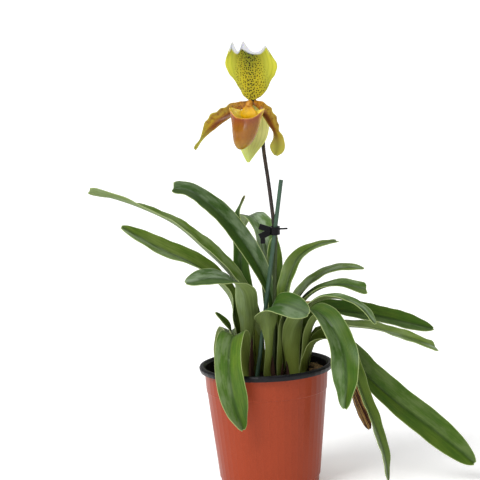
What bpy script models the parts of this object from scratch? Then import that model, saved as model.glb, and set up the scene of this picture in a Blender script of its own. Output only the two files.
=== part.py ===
"""Slipper orchid in a thin plastic pot, with a support stake and a stem clip.

Each object is one real piece. Units are metres and +Z is up. The origin is the
centre of the pot's flat underside, and the side that is seen first faces -Y.
"""

import math
import random

import bmesh
import bpy
import numpy as np
from mathutils import Matrix, Vector

MM = 0.001
GAP = 0.3 * MM  # clearance left between pieces that touch

# Pot: one thermoformed cup, 120 mm across its rolled rim.
POT_RIM_RADIUS = 60 * MM
POT_HEIGHT = 110 * MM
POT_COLLAR_RADIUS = 55.2 * MM
POT_STEP_RADIUS = 53.6 * MM
POT_STEP_HEIGHT = 86 * MM
POT_FOOT_RADIUS = 44 * MM
POT_FOOT_HEIGHT = 7 * MM
POT_WALL = 1.1 * MM
POT_LIP_DROP = 5.4 * MM
POT_SIDES = 48
DRAIN_HOLES = 8
DRAIN_HOLE_RADIUS = 3.5 * MM
DRAIN_RING_RADIUS = 33 * MM

# Potting mix: bark pieces, filled to a little under the rim.
MIX_TOP = 96.5 * MM
MIX_SIDES = 40
MIX_RINGS = 11
BARK_CHIPS = 110
BARK_CHIP_LENGTH = (9 * MM, 17 * MM)
BARK_CHIP_RISE = (0.6 * MM, 3.4 * MM)
BARK_SEED = 11

# Rootstock: one crown for each growth, a creeping rhizome and a few roots.
CROWN_TOP = 100 * MM
CROWN_DEPTH = 26 * MM
CROWN_SIDES = 18
RHIZOME_JOINS = (("a", "c"), ("b", "c"), ("d", "c"), ("e", "c"), ("f", "d"), ("g", "c"))
RHIZOME_RADIUS = 3 * MM
RHIZOME_HEIGHT = 84 * MM
ROOT_RADIUS = 1.8 * MM
ROOT_SIDES = 5

# The plant leans a little towards +X as it rises from its crown.
LEAN = math.tan(math.radians(2.4))

# Growths: the middle of each fan of leaves on the crown, and its outer radius.
GROWTHS = {
    "a": {"at": (-20 * MM, -4 * MM), "radius": 8.5 * MM},
    "b": {"at": (-5 * MM, 13 * MM), "radius": 7.4 * MM},
    "c": {"at": (7 * MM, -5.5 * MM), "radius": 8.2 * MM},
    "d": {"at": (13 * MM, 13.5 * MM), "radius": 7.8 * MM},
    "e": {"at": (27 * MM, -6 * MM), "radius": 8.5 * MM},
    "f": {"at": (31 * MM, 13.5 * MM), "radius": 7.8 * MM},
    "g": {"at": (1 * MM, -18.5 * MM), "radius": 3.4 * MM},
}
SHEATH_PITCH = 1.35 * MM  # from one leaf base to the next one inside it

# Leaves: straps with a channelled midrib, folded round the crown at the base.
LEAF_THICKNESS = 0.8 * MM
LEAF_STATIONS = 14
LEAF_COLUMNS = 5
LEAF_TIP_FOLD = 0.47  # fold at the tip, over the fold further in
LEAF_OUTWARD_CURL = 9.0  # curvature of each half towards its edge, per metre
LEAF_BASE_SHARE = 0.28  # half width at the base, over the full width
LEAF_TIP_SHARE = 0.24
LEAF_TIP_WIDTH = 0.22
LEAF_NOTCH = 0.7 * MM
LEAF_ROLL_PLACES = (0, 0.25, 0.5, 0.75, 1)
LEAF_SHARE_PLACES = (0, 0.3, 0.5, 0.7, 0.9, 1)

# One row for each leaf: growth, ring counted inwards, width in mm, height in mm
# at which it starts to open, the way its keel faces at the base in degrees, how
# far each half is folded up in degrees, roll in degrees at each quarter of its
# length, share of the full width at each fifth of it from the second on, and the
# points in mm that its midrib passes through to the tip.
LEAVES = {
    "leaf_a_front_droop": ("a", 0, 26, 5, 254, 30, (0, 0, 0, 0), (1, 1, 1, 1), (
        (-25, -26, 136), (-30.5, -45, 141), (-33.5, -60, 126), (-32, -66, 103), (-27, -68, 80), (-21.5, -69, 65))),
    "leaf_a_small": ("a", 0, 9.5, 8, 186, 24, (10, 25, 35, 35), (1, 1, 1, 1), (
        (-31, -7, 124), (-34.5, -11, 145), (-45.5, -15, 157.5))),
    "leaf_a_left": ("a", 1, 27, 10, 172, 36, (8, 22, 36, 36), (0.9, 1, 0.95, 0.8), (
        (-28, 0, 140), (-33, 3, 168), (-46, 0, 184.5), (-67, -7, 200.5), (-94, -14, 214.5), (-113, -18, 226),
        (-127.5, -20, 235))),
    "leaf_a_front_left": ("a", 3, 26, 20, 258, 24, (0, 6, 24, 30), (0.72, 0.85, 1, 1), (
        (-17, -11, 140), (-18, -18, 161), (-21.5, -27, 180), (-34.5, -40, 191), (-51, -51, 194.5), (-70.5, -60, 192))),
    "leaf_a_back": ("a", 0, 23, 5, 106, 30, (0, 0, 0, 0), (1, 1, 1, 1), (
        (-25, 12, 118), (-29, 29, 130), (-33, 50, 128), (-36, 70, 110), (-38, 86, 84))),
    "leaf_b_left_long": ("b", 1, 24, 10, 215, 38, (10, 26, 20, 24), (1, 1, 0.66, 0.6), (
        (-12, 6, 140), (-19, 8, 168), (-34, 10, 189), (-57, 10, 212), (-81, 8, 233), (-112, 4, 249),
        (-156.5, -2, 264.5))),
    "leaf_b_upright": ("b", 2, 17, 20, 105, 30, (0, 0, 20, 40), (1, 1, 0.8, 0.6), (
        (-10, 22, 140), (-21, 35, 176), (-23, 47, 208), (-25.5, 58, 235), (-19, 64, 252))),
    "leaf_c_upper_right": ("c", 1, 20, 20, 335, 30, (-8, -15, -20, -25), (1, 1, 0.95, 0.6), (
        (14.5, -9, 135), (15.5, -7, 158), (20, 0, 184), (30, 9, 204.5), (46, 14, 214), (63, 18, 217))),
    "leaf_c_upper_left": ("c", 2, 25, 25, 145, 30, (19, 38, 21, 5), (0.48, 0.75, 0.88, 0.86), (
        (3.5, 0, 135), (5.5, 5, 163), (-4.5, 14, 190), (-27, 30, 223), (-50, 42, 246), (-68.5, 50, 258),
        (-84, 56, 260))),
    "leaf_d_young": ("d", 3, 17, 25, 135, 30, (0, 0, 0, 0), (1, 1, 1, 1), (
        (9, 18, 140), (8, 23, 168), (7, 27, 195), (7, 31, 218))),
    "leaf_d_far_back": ("d", 0, 24, 5, 120, 30, (0, 0, 0, 0), (1, 1, 1, 1), (
        (7, 25, 132), (5, 32, 165), (2, 40, 198), (-3, 50, 222), (-11, 65, 232), (-20, 84, 228),
        (-26, 102, 212))),
    "leaf_d_mid_right": ("d", 1, 15, 10, 335, 30, (-2, -4, -14, -40), (1, 1, 1, 1.1), (
        (22, 12, 128), (28, 12, 149), (37, 11, 166.5), (49, 10, 175), (68, 7, 179), (89, 3, 175.5))),
    "leaf_d_top_right": ("d", 2, 18, 15, 345, 30, (-5, -10, -16, -20), (1, 1, 0.95, 0.85), (
        (20, 14, 140), (27, 16, 161), (38, 19, 176), (54, 23, 187), (72, 25, 191.5), (88, 26, 190.5))),
    "leaf_e_front_droop": ("e", 0, 26, 5, 235, 30, (0, 0, 0, 0), (1, 1, 1, 1), (
        (22, -17, 131), (27, -22, 150), (39, -31, 162.5), (49, -41, 158.5), (58, -52, 147), (65.5, -61, 130),
        (68, -65, 108), (67, -66, 83))),
    "leaf_e_low_right": ("e", 0, 31, 5, 0, 30, (-22, -45, -56, -68), (1, 1, 1, 0.9), (
        (38, -9, 118), (45, -13, 132), (55, -16, 135), (69, -17, 124), (87, -19, 103), (117, -24, 77),
        (152, -27, 51), (184, -30, 25))),
    "leaf_e_hanging": ("e", 1, 19.5, 20, 325, 30, (-5, -10, -18, -25), (1, 1, 1, 1), (
        (36, -11, 125), (40, -16, 145), (48, -24, 157), (59, -34, 152), (69, -40, 130), (80, -43, 98),
        (93, -43, 65), (103, -41, 35), (107, -38, 11))),
    "leaf_e_front_right": ("e", 3, 18, 25, 330, 30, (0, 0, 0, 0), (1, 0.85, 0.85, 0.9), (
        (30, -6, 140), (34, -6, 156), (46, -7, 167), (65, -11, 169.5), (83, -19, 163), (95, -26, 150))),
    "leaf_f_brown": ("f", 0, 15, 8, 10, 30, (-12, -25, -42, -60), (1, 1, 1, 1), (
        (41, 17, 120), (50, 23, 134), (60, 27, 126), (70, 29, 100), (82, 30, 70), (95, 29, 42))),
    "leaf_f_right": ("f", 1, 19, 8, 330, 30, (-4, -8, -18, -28), (1, 1, 0.92, 0.85), (
        (40, 9, 122), (48, 10, 134), (64, 12, 139), (90, 10, 139), (115, 8, 134), (151.5, 4, 123))),
    "leaf_f_far_right": ("f", 2, 23, 18, 5, 30, (-20, -40, -38, -35), (1, 1, 1, 1), (
        (37, 15, 130), (43, 20, 146), (54, 29, 151), (70, 38, 149), (96, 47, 144), (128, 55, 136),
        (155, 60, 129))),
    "leaf_f_yellowing": ("f", 3, 11, 20, 155, 30, (0, 0, 0, 0), (1, 1, 1, 1), (
        (26, 20, 128), (27, 36, 146), (36, 54, 151), (64, 70, 150), (98, 78, 145))),
    "leaf_f_back": ("f", 0, 22, 5, 115, 30, (0, 0, 0, 0), (1, 1, 1, 1), (
        (26, 26, 118), (22, 42, 136), (22, 64, 140), (26, 86, 124), (31, 100, 96))),
    "leaf_g_front_right": ("g", 0, 27, 20, 270, 24, (-12, -25, -34, -40), (0.5, 0.95, 1, 1), (
        (2.5, -22, 120), (3, -25, 143), (2, -30, 160), (7, -37, 168.5), (17, -45, 169.5), (26, -51, 167),
        (35, -56, 164))),
}

# Tips that are cut off or blunt: width kept at the tip over the full width, and how
# far in mm the corner on one side reaches past the other.
LEAF_TIPS = {
    "leaf_b_left_long": (0.4, 0),
    "leaf_c_upper_left": (0.7, 2),
    "leaf_c_upper_right": (0.6, 2),
    "leaf_d_mid_right": (0.85, 3),
    "leaf_f_right": (0.8, 6),
    "leaf_f_yellowing": (0.5, 0),
}

# Flower stem: rises from the middle of growth c, through the clip, to the bloom.
STEM_RADIUS = 1.6 * MM
STEM_SIDES = 8
STEM_POINTS = (
    (7, -6, 140), (7.2, -8, 190), (7, -10.2, 228), (5.4, -10.2, 242), (1, -8, 275), (-3, -3, 302), (-4.8, 2, 322))
STEM_SWELL = ((0, 1), (0.8, 0.9), (0.86, 1.2), (0.94, 1.6), (0.985, 1.4), (1, 1.9))
OVARY_POINTS = ((0.5, -5.5, -10), (0, -0.6, -5), (0, 0, -0.35))
BRACT_RADIUS = 4 * MM
BRACT_SPAN = (0.38, 0.97)

# Bloom: its middle is where sepals, petals and lip meet, and it looks forward,
# a little to the left and down. Sizes below are in mm along its own axes.
BLOOM_AT = (-13.5, -12, 344)
BLOOM_TURN = math.radians(20)
BLOOM_NOD = math.radians(6)
TEPAL_THICKNESS = 0.8 * MM
DORSAL_ROWS = 9
DORSAL_COLUMNS = 11
DORSAL_BASE = 2.1
DORSAL_HEIGHT = 48
DORSAL_HALF_WIDTHS = (
    (0, 3.2), (0.06, 7.5), (0.2, 13.5), (0.33, 16), (0.44, 19), (0.55, 22), (0.7, 24), (0.85, 22.5), (1, 18))
DORSAL_CREST = (
    (-1, 1), (-0.8, 6.5), (-0.6, -2.2), (-0.4, 5), (-0.2, 2.6), (0, -2), (0.2, -3.2), (0.4, -2), (0.6, 1),
    (0.8, 4.4), (1, -2))
SYNSEPAL_ROWS = 8
SYNSEPAL_COLUMNS = 7
SYNSEPAL_LENGTH = 52
SYNSEPAL_HALF_WIDTHS = ((0, 2.0), (0.1, 9), (0.22, 14.5), (0.42, 15.5), (0.65, 12.5), (0.85, 6), (1, 1))
PETAL_STATIONS = 12
PETALS = {
    "petal_left": (-1, (
        (-2.1, 0, 0.6, 1.6, 0), (-5.5, -1.6, 1.8, 3.9, 5), (-13.4, -4, 3.2, 5.2, 10), (-22, -9.5, 4.8, 6.2, 20),
        (-32, -16.5, 6.4, 6.8, 25), (-39.5, -24.5, 7.4, 5, 35), (-44.5, -32, 8.4, 3, 60), (-51.5, -42, 9.4, 3.6, 50))),
    "petal_right": (1, (
        (2.1, 0, 0.6, 1.6, 0), (6.4, -1.2, 1.8, 3.6, 5), (11, -3.4, 3.2, 4.8, 20), (16, -8.5, 5.2, 4.8, 30),
        (20.8, -15.5, 7.2, 4.4, 35), (23.8, -23, 8.2, 3.2, 50), (26.4, -30.5, 9.2, 5, 20), (25.6, -38, 9.8, 6.6, 5),
        (24, -44.5, 10.2, 3.2, 0))),
}
POUCH_WALL = 0.8 * MM
POUCH_SIDES = 20
POUCH_EAR_RISE = 8.0
POUCH_EAR_FLARE = 4.0
POUCH_BACK_RISE = 4.5
POUCH_FRONT_RISE = 0.8
POUCH_SKEW = -4.4
POUCH_ROWS = (
    (-11, 13, 12.4, 9.5), (-15, 13.4, 12.2, 9.7), (-20.5, 14.5, 12, 9.6), (-26.5, 16, 10.4, 8.8),
    (-32, 18, 8.2, 7.4), (-36, 19.5, 5, 4.8))
POUCH_TOE = (-38.3, 20.4)
POUCH_CLAW = ((0, -9, 3.9), (0, -5.5, 3), (0, -2.5, 1.65))
COLUMN_POINTS = ((0, 0, 0), (0, -0.1, 3.2), (0, -0.5, 4.8), (0, -2.2, 7.6), (0, -3, 8.6))
COLUMN_RADII = (1.2, 1.6, 3.5, 4.1, 3.2)
STAMINODE_HALF_WIDTH = 8
STAMINODE_HALF_HEIGHT = 5.2
STAMINODE_MIDDLE = -7.4

# Stake: a straight rod beside the flower stem.
STAKE_RADIUS = 1.9 * MM
STAKE_SIDES = 12
STAKE_TOP = (12.2, -14, 276)
STAKE_FOOT = (-17.5, -15, 22)

# Clip: one moulding that closes round the stem and the stake.
CLIP_AT = (7, -12.2, 231)
CLIP_HEIGHT = 7 * MM
CLIP_OUTER = (4.6, 6.4)
CLIP_INNER = (3.2, 5.0)

# Colours as red, green, blue from 0 to 1, with the roughness of each surface.
FINISHES = {
    "pot_plastic": ((0.62, 0.16, 0.08), 0.35),
    "potting_bark": ((0.16, 0.08, 0.04), 0.9),
    "root": ((0.35, 0.27, 0.16), 0.8),
    "leaf_green": ((0.13, 0.30, 0.07), 0.4),
    "leaf_brown": ((0.20, 0.09, 0.04), 0.6),
    "leaf_yellow": ((0.42, 0.36, 0.13), 0.55),
    "stake_green": ((0.05, 0.15, 0.10), 0.5),
    "clip_black": ((0.02, 0.02, 0.03), 0.35),
    "stem_purple": ((0.07, 0.03, 0.03), 0.7),
    "bract_green": ((0.24, 0.32, 0.08), 0.5),
    "sepal_green": ((0.55, 0.58, 0.08), 0.5),
    "petal_bronze": ((0.52, 0.33, 0.06), 0.4),
    "lip_amber": ((0.50, 0.20, 0.04), 0.25),
    "column_yellow": ((0.85, 0.55, 0.05), 0.4),
}


def clear_scene():
    """Removes what a new Blender file holds."""
    for item in list(bpy.data.objects):
        bpy.data.objects.remove(item)


def material(name):
    """Principled material for one finish, made once."""
    made = bpy.data.materials.get(name)
    if made:
        return made
    colour, roughness = FINISHES[name]
    made = bpy.data.materials.new(name)
    made.use_nodes = True
    shader = made.node_tree.nodes["Principled BSDF"]
    shader.inputs["Base Color"].default_value = (*colour, 1)
    shader.inputs["Roughness"].default_value = roughness
    shader.inputs["Metallic"].default_value = 0
    return made


def new_object(name, points, faces, finish, sharp=math.radians(50)):
    """Object from points and faces, shaded smooth below the sharp angle."""
    mesh = bpy.data.meshes.new(name)
    mesh.from_pydata([tuple(p) for p in points], [], faces)
    mesh.validate()
    mesh.shade_smooth()
    mesh.set_sharp_from_angle(angle=sharp)
    mesh.materials.append(material(finish))
    made = bpy.data.objects.new(name, mesh)
    bpy.context.scene.collection.objects.link(made)
    return made


def cutter(made):
    """Marks an object as a cutting tool that is no part of the model."""
    made.hide_render = True
    made.display_type = "WIRE"
    return made


def cut(target, tool):
    """Takes the tool's shape out of the target."""
    step = target.modifiers.new("cut_" + tool.name, "BOOLEAN")
    step.operation = "DIFFERENCE"
    step.solver = "EXACT"
    step.object = cutter(tool)


def unite(target, piece):
    """Joins another solid to the target."""
    step = target.modifiers.new("join_" + piece.name, "BOOLEAN")
    step.operation = "UNION"
    step.solver = "EXACT"
    step.object = cutter(piece)


def smoothstep(t):
    """Eases from 0 to 1 as t goes from 0 to 1."""
    t = min(max(t, 0.0), 1.0)
    return t * t * (3 - 2 * t)


def plant_point(x, y, z):
    """World place in metres of a route point in mm, with the lean of the plant added."""
    return Vector((x + LEAN * (z - CROWN_TOP / MM), y, z - LEAN * x)) * MM


def between(table, t):
    """Value at t from pairs of (t, value), straight between them."""
    return float(np.interp(t, [row[0] for row in table], [row[1] for row in table]))


def flow(table, t):
    """Value at t on a smooth curve through pairs of (t, value)."""
    x, y = np.array(table, float).T
    slopes = np.gradient(y, x)
    i = int(np.clip(np.searchsorted(x, t) - 1, 0, len(x) - 2))
    span = x[i + 1] - x[i]
    u = (t - x[i]) / span
    return float(
        (2 * u**3 - 3 * u**2 + 1) * y[i]
        + (u**3 - 2 * u**2 + u) * span * slopes[i]
        + (3 * u**2 - 2 * u**3) * y[i + 1]
        + (u**3 - u**2) * span * slopes[i + 1])


def smooth_path(points, fractions, first_way=None):
    """Points at fractions of the length of a smooth curve through the given points."""
    p = np.array([tuple(q) for q in points], float)
    chord = np.linalg.norm(np.diff(p, axis=0), axis=1)
    knots = np.concatenate([[0], np.cumsum(chord)])
    ways = np.gradient(p, knots, axis=0)
    if first_way is not None:
        ways[0] = first_way
    dense = []
    for i, span in enumerate(chord):
        u = np.linspace(0, 1, 25)[:, None]
        dense.append(
            (2 * u**3 - 3 * u**2 + 1) * p[i]
            + (u**3 - 2 * u**2 + u) * span * ways[i]
            + (3 * u**2 - 2 * u**3) * p[i + 1]
            + (u**3 - u**2) * span * ways[i + 1]
        )
    dense = np.concatenate(dense)
    run = np.concatenate([[0], np.cumsum(np.linalg.norm(np.diff(dense, axis=0), axis=1))])
    wanted = np.array(fractions) * run[-1]
    return np.stack([np.interp(wanted, run, dense[:, k]) for k in range(3)], axis=1)


def directions(path):
    """Unit direction of travel at each point of a path."""
    ways = np.gradient(path, axis=0)
    return ways / np.linalg.norm(ways, axis=1)[:, None]


def tube(path, radii, sides, last_way=None):
    """Points and faces of a closed round tube along a path, with flat ends."""
    ways = directions(path)
    if last_way is not None:
        ways[-1] = last_way
    across = np.cross(ways[0], (0.3, 1.0, 0.1))
    points = []
    for centre, way, radius in zip(path, ways, radii):
        across = across - way * (across @ way)
        across /= np.linalg.norm(across)
        other = np.cross(way, across)
        for k in range(sides):
            turn = 2 * math.pi * k / sides
            points.append(centre + radius * (across * math.cos(turn) + other * math.sin(turn)))
    return points, tube_faces(len(path), sides)


def tube_faces(rings, sides):
    """Faces of a tube of rings, with one many-sided face at each end."""
    faces = [tuple(reversed(range(sides)))]
    for i in range(rings - 1):
        for k in range(sides):
            j = (k + 1) % sides
            a, b = i * sides, (i + 1) * sides
            faces.append((a + k, a + j, b + j, b + k))
    faces.append(tuple(range((rings - 1) * sides, rings * sides)))
    return faces


def turned(profile, sides):
    """Points and faces of a solid turned about Z, from a profile that starts and ends on it."""
    points = [Vector((0, 0, profile[0][1]))]
    for radius, height in profile[1:-1]:
        for k in range(sides):
            turn = 2 * math.pi * k / sides
            points.append(Vector((radius * math.cos(turn), radius * math.sin(turn), height)))
    points.append(Vector((0, 0, profile[-1][1])))
    rings, last = len(profile) - 2, len(points) - 1
    faces = []
    for k in range(sides):
        j = (k + 1) % sides
        faces.append((0, 1 + j, 1 + k))
        for i in range(rings - 1):
            a, b = 1 + i * sides, 1 + (i + 1) * sides
            faces.append((a + k, a + j, b + j, b + k))
        top = 1 + (rings - 1) * sides
        faces.append((last, top + k, top + j))
    return points, faces


def thin_solid(grid, thickness, edge_thickness=0.6 * MM):
    """Points and faces of a thin closed blade round a grid of points.

    The grid has rows along the blade and columns across it. Both faces are split
    into the same triangles, so that they never cross. The upper face lies on the
    side of rows x columns by the right-hand rule.
    """
    grid = np.array(grid, float)
    rows, columns = grid.shape[:2]
    along, across = np.gradient(grid, axis=0), np.gradient(grid, axis=1)
    normal = np.cross(along, across)
    normal /= np.linalg.norm(normal, axis=2)[:, :, None]
    half = np.full((rows, columns), thickness / 2)
    half[:, 0] = half[:, -1] = edge_thickness / 2
    upper = grid + normal * half[:, :, None]
    lower = grid - normal * half[:, :, None]
    points = list(upper.reshape(-1, 3)) + list(lower.reshape(-1, 3))
    below = rows * columns

    faces = []
    for i in range(rows - 1):
        for k in range(columns - 1):
            a, b = i * columns + k, i * columns + k + 1
            c, d = a + columns, b + columns
            split = ((a, c, b), (b, c, d)) if k >= (columns - 1) / 2 else ((a, c, d), (a, d, b))
            for one in split:
                faces.append(one)
                faces.append(tuple(below + v for v in reversed(one)))
    border = [k for k in range(columns)]
    border += [i * columns + columns - 1 for i in range(1, rows)]
    border += [(rows - 1) * columns + k for k in range(columns - 2, -1, -1)]
    border += [i * columns for i in range(rows - 2, 0, -1)]
    for a, b in zip(border, border[1:] + border[:1]):
        faces.append((a, b, below + b, below + a))
    return points, faces


def pot_profile():
    """Pot outline from the middle of the underside, up the outside and down the inside."""
    lip = POT_HEIGHT - POT_LIP_DROP
    wall = POT_WALL
    outside = [
        (0, 0),
        (POT_FOOT_RADIUS - 1.6 * MM, 0),
        (POT_FOOT_RADIUS - 0.4 * MM, 0.5 * MM),
        (POT_FOOT_RADIUS, 1.8 * MM),
        (POT_FOOT_RADIUS + 0.3 * MM, POT_FOOT_HEIGHT),
        (POT_FOOT_RADIUS + 1.3 * MM, POT_FOOT_HEIGHT + 1.2 * MM),
        (POT_STEP_RADIUS, POT_STEP_HEIGHT),
        (POT_STEP_RADIUS + 0.5 * MM, POT_STEP_HEIGHT + 0.6 * MM),
        (POT_COLLAR_RADIUS, lip - 0.8 * MM),
        (POT_COLLAR_RADIUS + 0.8 * MM, lip),
        (POT_RIM_RADIUS - 1.2 * MM, lip - 0.2 * MM),
    ]
    rim_middle = (POT_RIM_RADIUS - 2.2 * MM, POT_HEIGHT - 2.2 * MM)
    roll = [
        (rim_middle[0] + 2.2 * MM * math.cos(turn), rim_middle[1] + 2.2 * MM * math.sin(turn))
        for turn in (math.radians(d) for d in (-30, 10, 50, 90))
    ]
    inside = [
        (POT_COLLAR_RADIUS + 0.9 * MM, POT_HEIGHT - 0.5 * MM),
        (POT_COLLAR_RADIUS - wall + 0.3 * MM, POT_HEIGHT - 2.4 * MM),
        (POT_COLLAR_RADIUS - wall, lip - 1.0 * MM),
        (POT_STEP_RADIUS - wall, POT_STEP_HEIGHT),
        (POT_FOOT_RADIUS + 1.3 * MM - wall, POT_FOOT_HEIGHT + 1.2 * MM),
        (POT_FOOT_RADIUS - wall, POT_FOOT_HEIGHT - 0.6 * MM),
        (POT_FOOT_RADIUS - wall - 0.6 * MM, wall),
        (0, wall),
    ]
    return outside + roll + inside


def make_pot():
    """Thin cup with a rolled rim, a stacking step and a ring of drain holes."""
    pot = new_object("pot", *turned(pot_profile(), POT_SIDES), "pot_plastic", math.radians(40))
    drains = bmesh.new()
    for k in range(DRAIN_HOLES):
        turn = 2 * math.pi * (k + 0.5) / DRAIN_HOLES
        place = Matrix.Translation(
            (DRAIN_RING_RADIUS * math.cos(turn), DRAIN_RING_RADIUS * math.sin(turn), POT_WALL / 2))
        bmesh.ops.create_cone(
            drains, cap_ends=True, segments=12, depth=6 * MM, matrix=place,
            radius1=DRAIN_HOLE_RADIUS, radius2=DRAIN_HOLE_RADIUS)
    mesh = bpy.data.meshes.new("drain_tool")
    drains.to_mesh(mesh)
    drains.free()
    tool = bpy.data.objects.new("drain_tool", mesh)
    bpy.context.scene.collection.objects.link(tool)
    cut(pot, tool)


def bark_chips():
    """Bark pieces on the surface: middle, half length, half width, turn, rise and tilt of each."""
    draw = random.Random(BARK_SEED)
    chips = []
    for _ in range(BARK_CHIPS):
        reach = (POT_COLLAR_RADIUS - 4 * MM) * math.sqrt(draw.random())
        turn = draw.uniform(0, 2 * math.pi)
        length = draw.uniform(*BARK_CHIP_LENGTH)
        chips.append((
            reach * math.cos(turn), reach * math.sin(turn),
            length / 2, length * draw.uniform(0.3, 0.5) / 2, draw.uniform(0, math.pi),
            draw.uniform(*BARK_CHIP_RISE), draw.uniform(-0.18, 0.18), draw.uniform(-0.18, 0.18)))
    return chips


def bark_height(x, y, chips):
    """Height of the bark surface at one place."""
    height = MIX_TOP - 1.5 * MM
    for cx, cy, half_length, half_width, turn, rise, tilt_x, tilt_y in chips:
        dx, dy = x - cx, y - cy
        u = dx * math.cos(turn) + dy * math.sin(turn)
        v = dy * math.cos(turn) - dx * math.sin(turn)
        if abs(u) < half_length and abs(v) < half_width:
            height = max(height, MIX_TOP - 1.5 * MM + rise + tilt_x * dx + tilt_y * dy)
    return height


def make_potting_mix(rootstock_tool, stake_tool):
    """Bark mix that fills the pot, rough on top, with plain holes for rootstock and stake."""
    side = [
        (POT_FOOT_RADIUS - POT_WALL - 0.6 * MM - GAP, POT_WALL + GAP),
        (POT_FOOT_RADIUS - POT_WALL - GAP, POT_FOOT_HEIGHT - 0.6 * MM),
        (POT_FOOT_RADIUS + 1.3 * MM - POT_WALL - GAP, POT_FOOT_HEIGHT + 1.4 * MM),
        (POT_STEP_RADIUS - POT_WALL - GAP, POT_STEP_HEIGHT),
        (POT_STEP_RADIUS - POT_WALL + 0.4 * MM, MIX_TOP - 2.5 * MM),
    ]
    profile = [(0, side[0][1]), *side]
    edge = side[-1][0]
    profile += [(edge * (MIX_RINGS - i) / MIX_RINGS, MIX_TOP) for i in range(1, MIX_RINGS)]
    profile.append((0, MIX_TOP))
    points, faces = turned(profile, MIX_SIDES)
    chips = bark_chips()
    first_top = 1 + len(side) * MIX_SIDES
    for point in points[first_top:]:
        point.z = bark_height(point.x, point.y, chips)
    mix = new_object("potting_mix", points, faces, "potting_bark", math.radians(20))
    cut(mix, rootstock_tool)
    cut(mix, stake_tool)


def crown_solid(growth, grow):
    """Tapered stub that carries the leaf bases of one growth."""
    x, y = growth["at"]
    rings = [
        (0.55 * growth["radius"], CROWN_TOP - CROWN_DEPTH - grow),
        (0.9 * growth["radius"], CROWN_TOP - 0.6 * CROWN_DEPTH),
        (growth["radius"] + 0.4 * MM, CROWN_TOP - 8 * MM),
        (growth["radius"] + 0.4 * MM, CROWN_TOP + (8 * MM if grow else 0)),
    ]
    profile = [(0, rings[0][1])] + [(r + grow, z) for r, z in rings] + [(0, rings[-1][1])]
    points, faces = turned(profile, CROWN_SIDES)
    return [p + Vector((x, y, 0)) for p in points], faces


def root_paths(extra):
    """Middle line of each root, from a crown down and out into the mix."""
    paths = []
    for growth in GROWTHS.values():
        x, y = growth["at"]
        out = Vector((x, y, 0)).normalized()
        start = Vector((x, y, CROWN_TOP - CROWN_DEPTH + 5 * MM))
        paths.append([
            start,
            start + out * 4 * MM + Vector((0, 0, -16 * MM)),
            start + out * 2 * MM + Vector((0, 0, -34 * MM)),
            start - out * 5 * MM + Vector((0, 0, -50 * MM - extra)),
        ])
    return paths


def make_rootstock(name, grow=0.0):
    """Crowns, rhizome and roots joined in one solid. With grow it is the tool for its hole."""
    parts = bpy.data.collections.new(name + "_parts")
    solids = [crown_solid(growth, grow) for growth in GROWTHS.values()]
    for a, b in RHIZOME_JOINS:
        ends = [Vector((*GROWTHS[k]["at"], RHIZOME_HEIGHT)) for k in (a, b)]
        solids.append(tube(np.array([ends[0], (ends[0] + ends[1]) / 2, ends[1]]), [RHIZOME_RADIUS + grow] * 3, 8))
    for path in root_paths(grow):
        line = smooth_path(path, np.linspace(0, 1, 6))
        radii = np.linspace(1, 0.7, 6) * ROOT_RADIUS + grow
        solids.append(tube(line, radii, ROOT_SIDES))
    first = new_object(name, *solids[0], "root")
    for k, solid in enumerate(solids[1:]):
        piece = new_object(f"{name}_part_{k}", *solid, "root")
        bpy.context.scene.collection.objects.unlink(piece)
        parts.objects.link(piece)
    join = first.modifiers.new("join", "BOOLEAN")
    join.operation = "UNION"
    join.solver = "EXACT"
    join.operand_type = "COLLECTION"
    join.collection = parts
    bpy.context.scene.collection.children.link(parts)
    bpy.context.view_layer.update()
    joined = bpy.data.meshes.new_from_object(first.evaluated_get(bpy.context.evaluated_depsgraph_get()))
    first.modifiers.clear()
    first.data = joined
    for piece in list(parts.objects):
        bpy.data.objects.remove(piece)
    bpy.data.collections.remove(parts)
    return first


def leaf_half_width(s, width, shares, base_half, tip_width):
    """Half the blade's width at fraction s of its length."""
    full = base_half + (width / 2 - base_half) * smoothstep(s / 0.45)
    full *= flow(list(zip(LEAF_SHARE_PLACES, (1, *shares, shares[-1]))), s)
    tip = (s - (1 - LEAF_TIP_SHARE)) / LEAF_TIP_SHARE
    if tip > 0:
        full *= max(math.sqrt(max(1 - tip * tip, 0)), tip_width)
    return full


def leaf_section(half, fold, curve, columns):
    """Places across one half-folded blade, as (sideways, upwards) from its midrib."""
    section = []
    for v in np.linspace(-1, 1, columns):
        run = abs(v) * half
        if abs(curve) < 1e-6:
            side, rise = run * math.cos(fold), run * math.sin(fold)
        else:
            side = (math.sin(fold + curve * run) - math.sin(fold)) / curve
            rise = (math.cos(fold) - math.cos(fold + curve * run)) / curve
        section.append((math.copysign(side, v), rise))
    return section


def leaf_frames(path, face):
    """Direction, sideways and upper-face vectors at each point of a midrib.

    Near the base the blade faces the middle of its growth, and further on its
    width stays level across the way that it travels.
    """
    ways = directions(path)
    ways[0] = (0, 0, 1)
    keel = np.array([math.cos(face), math.sin(face)])
    flat = ways[:, :2] + 0.25 * keel
    sideways = np.stack([flat[:, 1], -flat[:, 0], np.zeros(len(path))], axis=1)
    sideways -= ways * np.sum(sideways * ways, axis=1)[:, None]
    sideways /= np.linalg.norm(sideways, axis=1)[:, None]
    return ways, sideways, np.cross(sideways, ways)


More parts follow.
